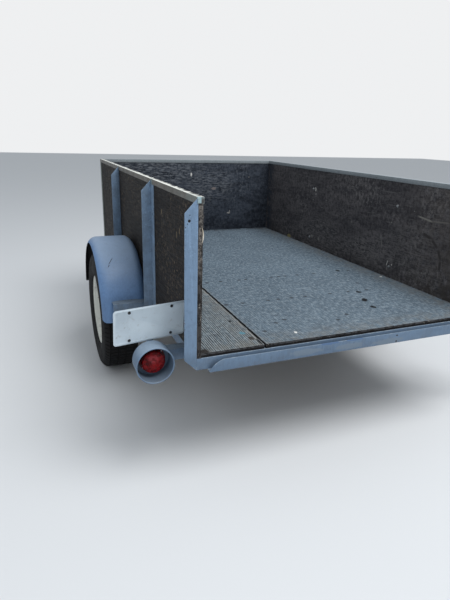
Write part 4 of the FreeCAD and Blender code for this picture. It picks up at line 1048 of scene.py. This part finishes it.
# Running gear
def tyre_section():
    """Section as (across, radius): the outside from bead to bead, and back round the hollow."""
    top = TYRE_RADIUS
    half = TYRE_HALF
    bead = BEAD_RADIUS
    seat = BEAD_HALF
    wall = TYRE_WALL
    belly = bead + 0.48 * (top - bead)
    right = [
        (seat, bead), (seat, bead + 0.014), (seat + 0.004, bead + 0.020), (seat + 0.009, bead + 0.022),
        (seat + 0.013, bead + 0.028), (half - 0.0065, belly - 0.028), (half - 0.0055, belly - 0.024),
        (half - 0.0015, belly - 0.010), (half, belly), (half - 0.0008, belly + 0.014),
        (half - 0.002, belly + 0.018), (half - 0.0025, belly + 0.026), (half - 0.007, top - 0.034),
        (half - 0.011, top - 0.026), (half - 0.0155, top - 0.020), (half - 0.022, top - 0.0115),
        (half - 0.030, top - 0.0065),
    ]
    for wide in (half - 0.033, 0.026):
        right += [(wide, top - 0.002), (wide - 0.001, top - GROOVE)]
        right += [(wide - 0.008, top - GROOVE), (wide - 0.009, top - 0.001)]
    inside = [
        (half - 0.054, top - wall - 0.004), (half - 0.034, top - wall - 0.014),
        (half - wall - 0.004, belly + 0.024), (half - wall, belly),
        (half - wall - 0.008, belly - 0.026), (seat - 0.008, bead + 0.026), (seat - 0.014, bead),
    ]
    left, inner_left = ([(-x, r) for x, r in points[::-1]] for points in (right, inside))
    return right + left + inner_left + inside


def make_tyres():
    """Road tread: two pairs of grooves round the tyre, and slots across the blocks."""
    section = tyre_section()
    shares = (0.0, SLOT_SHARE, SLOT_SHARE + 0.02, 0.98)
    stations = [(k + s) * 2 * math.pi / TREAD_PITCHES for k in range(TREAD_PITCHES) for s in shares]
    shoulder = TYRE_HALF - 0.034

    def dent(number, turn):
        a, r = section[number]
        share = (turn * TREAD_PITCHES / (2 * math.pi)) % 1.0
        if SLOT_SHARE + 0.001 <= share <= 0.999:
            return 0.0
        if abs(a) > shoulder and r > TYRE_RADIUS - 0.024:
            return -0.0050
        if 0.012 < abs(a) <= shoulder and r > TYRE_RADIUS - 0.004:
            return -0.0035
        return 0.0

    for side, sign in SIDES:
        shape = turned(section, (sign * AXLE.x, AXLE.y, AXLE.z), (sign, 0, 0), stations, dent)
        body = "wheel_" + side
        made = object_from("tyre_" + side + "_tread", shape, RUBBER, body=body, smooth=30.0)
        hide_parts("tyre_" + side)


def make_wheels():
    for side, sign in SIDES:
        body = "wheel_" + side
        paint("rim_" + side, CREAM)
        dressed("hub_" + side, HUB, 0.0008)
        centre = Vector((sign * AXLE.x, AXLE.y, AXLE.z))
        out = Vector((sign, 0, 0))
        nuts = bmesh.new()
        for turn in even_turns(5):
            seat = centre + Vector((0, math.sin(turn), math.cos(turn))) * STUD_CIRCLE + out * NUT_SEAT
            for start, end, radius, sides, end_radius in (
                (0.0, 0.004, 0.0088, 18, 0.0106), (0.004, 0.017, 0.0110, 6, None),
                (0.017, 0.0185, 0.0095, 18, 0.0075),
            ):
                add_prism(nuts, seat + out * start, seat + out * end, radius, sides, end_radius)
        round_edges(nuts, 0.0005)
        object_from("lug_nuts_" + side, nuts, ZINC, body=body)
        valve = bmesh.new()
        foot = centre + Vector((sign * VALVE_FOOT[0], *VALVE_FOOT[1:]))
        tip = foot + Vector((sign * 0.030, 0, -0.010))
        add_prism(valve, foot, foot.lerp(tip, 0.45), 0.0062, 14, 0.0046)
        add_prism(valve, foot.lerp(tip, 0.44), tip, 0.0040, 12)
        object_from("valve_" + side, valve, RUBBER, body=body)
        ring = [(0.020, 0.0362), (0.0205, 0.0388), (0.0235, 0.0388), (0.0245, 0.0360)]
        lip = turned(ring, centre, out, even_turns(48))
        object_from("hub_cap_lip_" + side, lip, HUB, body=body)


def make_chassis():
    for node in ("axle", "spring_hangers"):
        dressed(node, BLACK_STEEL, 0.0008)
    for node in ("spring_left", "spring_right"):
        dressed(node, SPRING, 0.0008)
    paint("spring_plates", SPRING)
    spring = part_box("spring_right")
    reach = (spring[1].x - spring[0].x) / 2 + U_BOLT_OUT
    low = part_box("spring_plates")[1].z - U_BOLT_TAIL - 0.0002
    nuts = bmesh.new()
    for _, sign in SIDES:
        for a in (-1, 1):
            for b in (-1, 1):
                foot = Vector((sign * middle(spring).x + a * reach, AXLE.y + b * U_BOLT_AHEAD, low))
                for start, end, radius, sides in ((0.0, 0.0022, 0.0105, 20), (0.0021, 0.0115, 0.0098, 6)):
                    add_prism(nuts, foot + Vector((0, 0, start)), foot + Vector((0, 0, end)), radius, sides)
    round_edges(nuts, 0.0004)
    object_from("u_bolt_nuts", nuts, SPRING)


def make_spring_clips():
    """Clip round the two long leaves at each end, and the nut on each centre bolt."""
    low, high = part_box("spring_right")
    half = (high.x - low.x) / 2
    rise = SPRING_RADIUS - math.sqrt(SPRING_RADIUS ** 2 - CLIP_AT ** 2)
    z0 = low.z + LEAF + rise
    z1 = z0 + 2 * LEAF
    clips = bmesh.new()
    for _, side in SIDES:
        x = side * middle((low, high)).x
        for y in (AXLE.y - CLIP_AT, AXLE.y + CLIP_AT):
            for x0, x1, b, t in (
                (x - half - CLIP_SHEET, x + half + CLIP_SHEET, z0 - CLIP_SHEET, z0),
                (x - half - CLIP_SHEET, x + half + CLIP_SHEET, z1, z1 + CLIP_SHEET),
                (x - half - CLIP_SHEET, x - half, z0, z1),
                (x + half, x + half + CLIP_SHEET, z0, z1),
            ):
                add_box(clips, (x0, y - CLIP_HALF, b), (x1, y + CLIP_HALF, t))
        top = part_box("spring_plates")[1].z - U_BOLT_TAIL
        add_bolt(clips, (x, AXLE.y, top), (0, 0, 1), BOLT_RADIUS * 1.2, washer=False)
    object_from("spring_clips", clips, SPRING)


def on_web(side, along, z, out=0.0):
    """Point on the outer face of a tongue member, measured back along it from the apex."""
    x = along * math.sin(TONGUE_LEAN) + out * math.cos(TONGUE_LEAN)
    y = APEX_Y - along * math.cos(TONGUE_LEAN) + out * math.sin(TONGUE_LEAN)
    return Vector((side * x, y, z))


def make_tongue():
    for node in ("coupler", "coupler_nose", "coupler_socket", "coupler_latch",
                 "jack_tube", "jack_crank", "jack_leg", "jack_foot"):
        dressed(node, ZINC, 0.0009)
    bolts = bmesh.new()
    jack = Vector((0, middle(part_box("jack_leg")).y, JACK_FLANGE_TOP))
    for turn in even_turns(3):
        out = Vector((-math.sin(turn), math.cos(turn), 0)) * JACK_BOLT_CIRCLE
        add_bolt(bolts, jack + out, (0, 0, 1), BOLT_RADIUS * 1.1)
    for _, side in SIDES:
        way = (side * math.cos(TONGUE_LEAN), math.sin(TONGUE_LEAN), 0)
        for along in WING_BOLTS_ALONG:
            place = on_web(side, along, middle(TONGUE).z, WING_SHEET)
            add_bolt(bolts, place, way, BOLT_RADIUS * 1.5)
    object_from("coupler_bolts", bolts, ZINC)


def make_welds():
    """Beads where the posts, brackets, hangers, tongue and coupler meet what carries them.

    Each bead is a line that stops a few millimetres short of the edges it runs up to."""
    rail_low, rail_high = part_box("frame_rail_right")
    bracket_low, bracket_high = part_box("fender_brackets")
    hanger_low, hanger_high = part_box("spring_hangers")
    coupler_low, coupler_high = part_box("coupler")
    under = rail_low.z
    ledge = bracket_high.z
    post_y = POST_BOLTS_Y[1] - ANGLE_LEG / 2
    upright_edges = [y + reach for y in POST_BOLTS_Y for reach in (-ANGLE_LEG / 2, ANGLE_LEG / 2)]
    upright_edges += [REAR + ANGLE_LEG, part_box("lamp_bracket_left")[0].y]
    fender_edges = (
        bracket_low.y + ANGLE_LEG + WELD_OUT * 2, bracket_high.y - ANGLE_LEG - WELD_OUT * 2
    )
    flange = Vector((TONGUE_FLANGE / math.cos(TONGUE_LEAN), 0, 0))
    beads = bmesh.new()
    for _, side in SIDES:
        face = side * (HALF_WIDTH + WELD_OUT)
        tip = side * (HALF_WIDTH + ANGLE_LEG)
        lines = [((face, y, under + 0.004), (face, y, rail_high.z - 0.003)) for y in upright_edges]
        lines += [
            ((face, bracket_low.y, bracket_low.z + 0.012), (face, bracket_low.y, ledge)),
            ((face, bracket_low.y, ledge), (face, bracket_low.y + ANGLE_LEG, ledge)),
            ((tip, post_y - 0.008, ledge), (tip, post_y + 0.010, ledge)),
        ]
        for y in fender_edges:
            start = side * (HALF_WIDTH + FENDER_BEAD_START)
            lines.append(((start, y, ledge), (side * (bracket_high.x - 0.012), y, ledge)))
        for start, end in (
            (hanger_low.y, hanger_low.y + HANGER_LENGTHS[0]),
            (hanger_high.y - HANGER_LENGTHS[1], hanger_high.y),
        ):
            x = side * hanger_high.x
            lines.append(((x, start + 0.004, under), (x, end - 0.004, under)))
        foot = on_web(side, (APEX_Y - FRONT) / math.cos(TONGUE_LEAN), under)
        lines.append((foot, foot - flange * side))
        crossing = on_web(side, HALF_WIDTH / math.sin(TONGUE_LEAN), under).y
        flange_end = crossing - TONGUE_FLANGE / math.sin(TONGUE_LEAN)
        lines.append(((face, crossing - 0.004, under), (face, flange_end + 0.010, under)))
        wing = (APEX_Y - coupler_low.y) / math.cos(TONGUE_LEAN)
        lines.append((on_web(side, wing, TONGUE[0].z + 0.004), on_web(side, wing, coupler_high.z - 0.002)))
        for start, end in lines:
            add_weld(beads, start, end)
    object_from("weld_beads", beads, STEEL)


# Lamps and plate
def lens_section(depth, ring):
    """Section of a lens as (along, radius): ribbed bowl, ring round it and flat back."""
    ring_face = depth - LENS_RING_DEPTH
    outer = LENS_RADIUS + LENS_STEP
    section = [(-0.001, 0.0)]
    for k in range(1, LENS_RIBS + 1):
        share = k / LENS_RIBS
        ridge = 0.0011 if k % 2 else 0.0
        section.append((LENS_DOME * share ** 2 - ridge, LENS_RADIUS * share))
    return section + [
        (LENS_DOME + 0.002, outer), (ring_face, outer), (ring_face, ring), (depth, ring), (depth, 0.0)
    ]


def lens_facets(number, turn):
    return 0.0016 * math.cos(turn * 18) if 3 <= number <= 9 else 0.0


def make_lamps():
    """Red lens with a ring of ribs round a faceted middle, on its base in the can."""
    for side, _ in SIDES:
        low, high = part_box("lamp_lens_" + side)
        centre = Vector((middle((low, high)).x, low.y, middle((low, high)).z))
        ring = (high.x - low.x) / 2
        depth = high.y - low.y
        shape = turned(lens_section(depth, ring), centre, (0, 1, 0), even_turns(144), lens_facets)
        made = object_from("lens_" + side, shape, LENS, smooth=28.0)
        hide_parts("lamp_lens_" + side)
        screws = bmesh.new()
        for turn in (0.7, 0.7 + math.pi):
            out = Vector((math.cos(turn), 0, math.sin(turn))) * (LENS_RADIUS + ring) / 2
            at = centre + out + Vector((0, depth - LENS_RING_DEPTH, 0))
            add_prism(screws, at, at - Vector((0, 0.002, 0)), 0.0026, 14, 0.0018)
        object_from("lens_screws_" + side, screws, ZINC)
        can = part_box("lamp_can_" + side)
        rim = (can[1].x - can[0].x) / 2
        mouth = Vector((middle(can).x, can[0].y, middle(can).z))
        bead = [(0.0, rim - 0.004), (-0.0022, rim - 0.002), (-0.0022, rim + 0.0005), (0.0, rim + 0.0018),
                (0.004, rim + 0.0018), (0.006, rim - 0.0005), (0.005, rim - 0.004)]
        shape = turned(bead, mouth, (0, 1, 0), even_turns(96))
        object_from("lamp_can_bead_" + side, shape, STEEL)


def make_plate():
    """Blank plate with a pressed border, held by bolts at its holes."""
    place = (
        Matrix.Translation(middle(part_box("plate")))
        @ Matrix.Rotation(PLATE_YAW, 4, "Z")
        @ Matrix.Rotation(PLATE_LEAN, 4, "X")
    )
    face = -PLATE_SHEET / 2
    raised = face - 0.0012
    border = ((0.0035, face), (0.0050, raised), (0.0080, raised), (0.0095, face))
    shape = bmesh.new()
    rings = []
    for inset, y in ((0.0, -face), (0.0, face), *border):
        bend = max(0.002, PLATE_CORNER - inset)
        half_w, half_h = (size / 2 - inset - bend for size in PLATE_SIZE)
        ring = []
        for sx, sz, start in ((1, 1, 0.0), (-1, 1, 0.5), (-1, -1, 1.0), (1, -1, 1.5)):
            for k in range(7):
                a = (start + k / 12) * math.pi
                corner = Vector((sx * half_w + bend * math.cos(a), y, sz * half_h + bend * math.sin(a)))
                ring.append(shape.verts.new(place @ corner))
        rings.append(ring)
    skin(shape, rings)
    made = object_from("plate_blank", shape, PLATE, smooth=50.0)
    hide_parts("plate")
    bolts = bmesh.new()
    for sx in (-0.5, 0.5):
        for sz in (-0.5, 0.5):
            head = place @ Vector((sx * PLATE_HOLES[0], face, sz * PLATE_HOLES[1]))
            add_bolt(bolts, head, place.to_3x3() @ Vector((0, -1, 0)), 0.0026)
    object_from("plate_bolts", bolts, DARK_BOLT)


def make_fixings():
    """Bolts through the side posts, their nuts inside the bed, and the floor's screw heads."""
    heads = bmesh.new()
    nuts = bmesh.new()
    for _, sign in SIDES:
        for y in POST_BOLTS_Y:
            for z in POST_BOLTS_Z:
                outer = (sign * (HALF_WIDTH + POST_WALL), y, z)
                add_bolt(heads, outer, (sign, 0, 0), BOLT_RADIUS, washer=False)
                add_bolt(nuts, (sign * WALL_RIGHT[0].x, y, z), (-sign, 0, 0), BOLT_RADIUS)
    object_from("post_bolts", heads, STEEL)
    object_from("post_nuts", nuts, ZINC)
    screws = bmesh.new()
    for y, row in SCREW_ROWS:
        for x in row:
            add_prism(screws, (x, y, -0.0004), (x, y, 0.0006), 0.0036, 12, 0.0030)
    object_from("floor_screws", screws, DARK_BOLT)


def main():
    make_camera()
    make_world()
    make_light("key", (1.6, -3.2, 6.4), (0, -0.3, 0.1), 5.0, 430.0, (0.98, 0.99, 1.0))
    make_light("fill", (-4.6, -3.4, 2.6), (0, -0.5, 0.0), 3.5, 28.0, (0.95, 0.98, 1.0))
    make_floor()
    make_bed()
    make_steel()
    make_tyres()
    make_wheels()
    make_chassis()
    make_spring_clips()
    make_tongue()
    make_welds()
    make_lamps()
    make_plate()
    make_fixings()


bpy.context.scene.view_settings.view_transform = "Standard"
main()
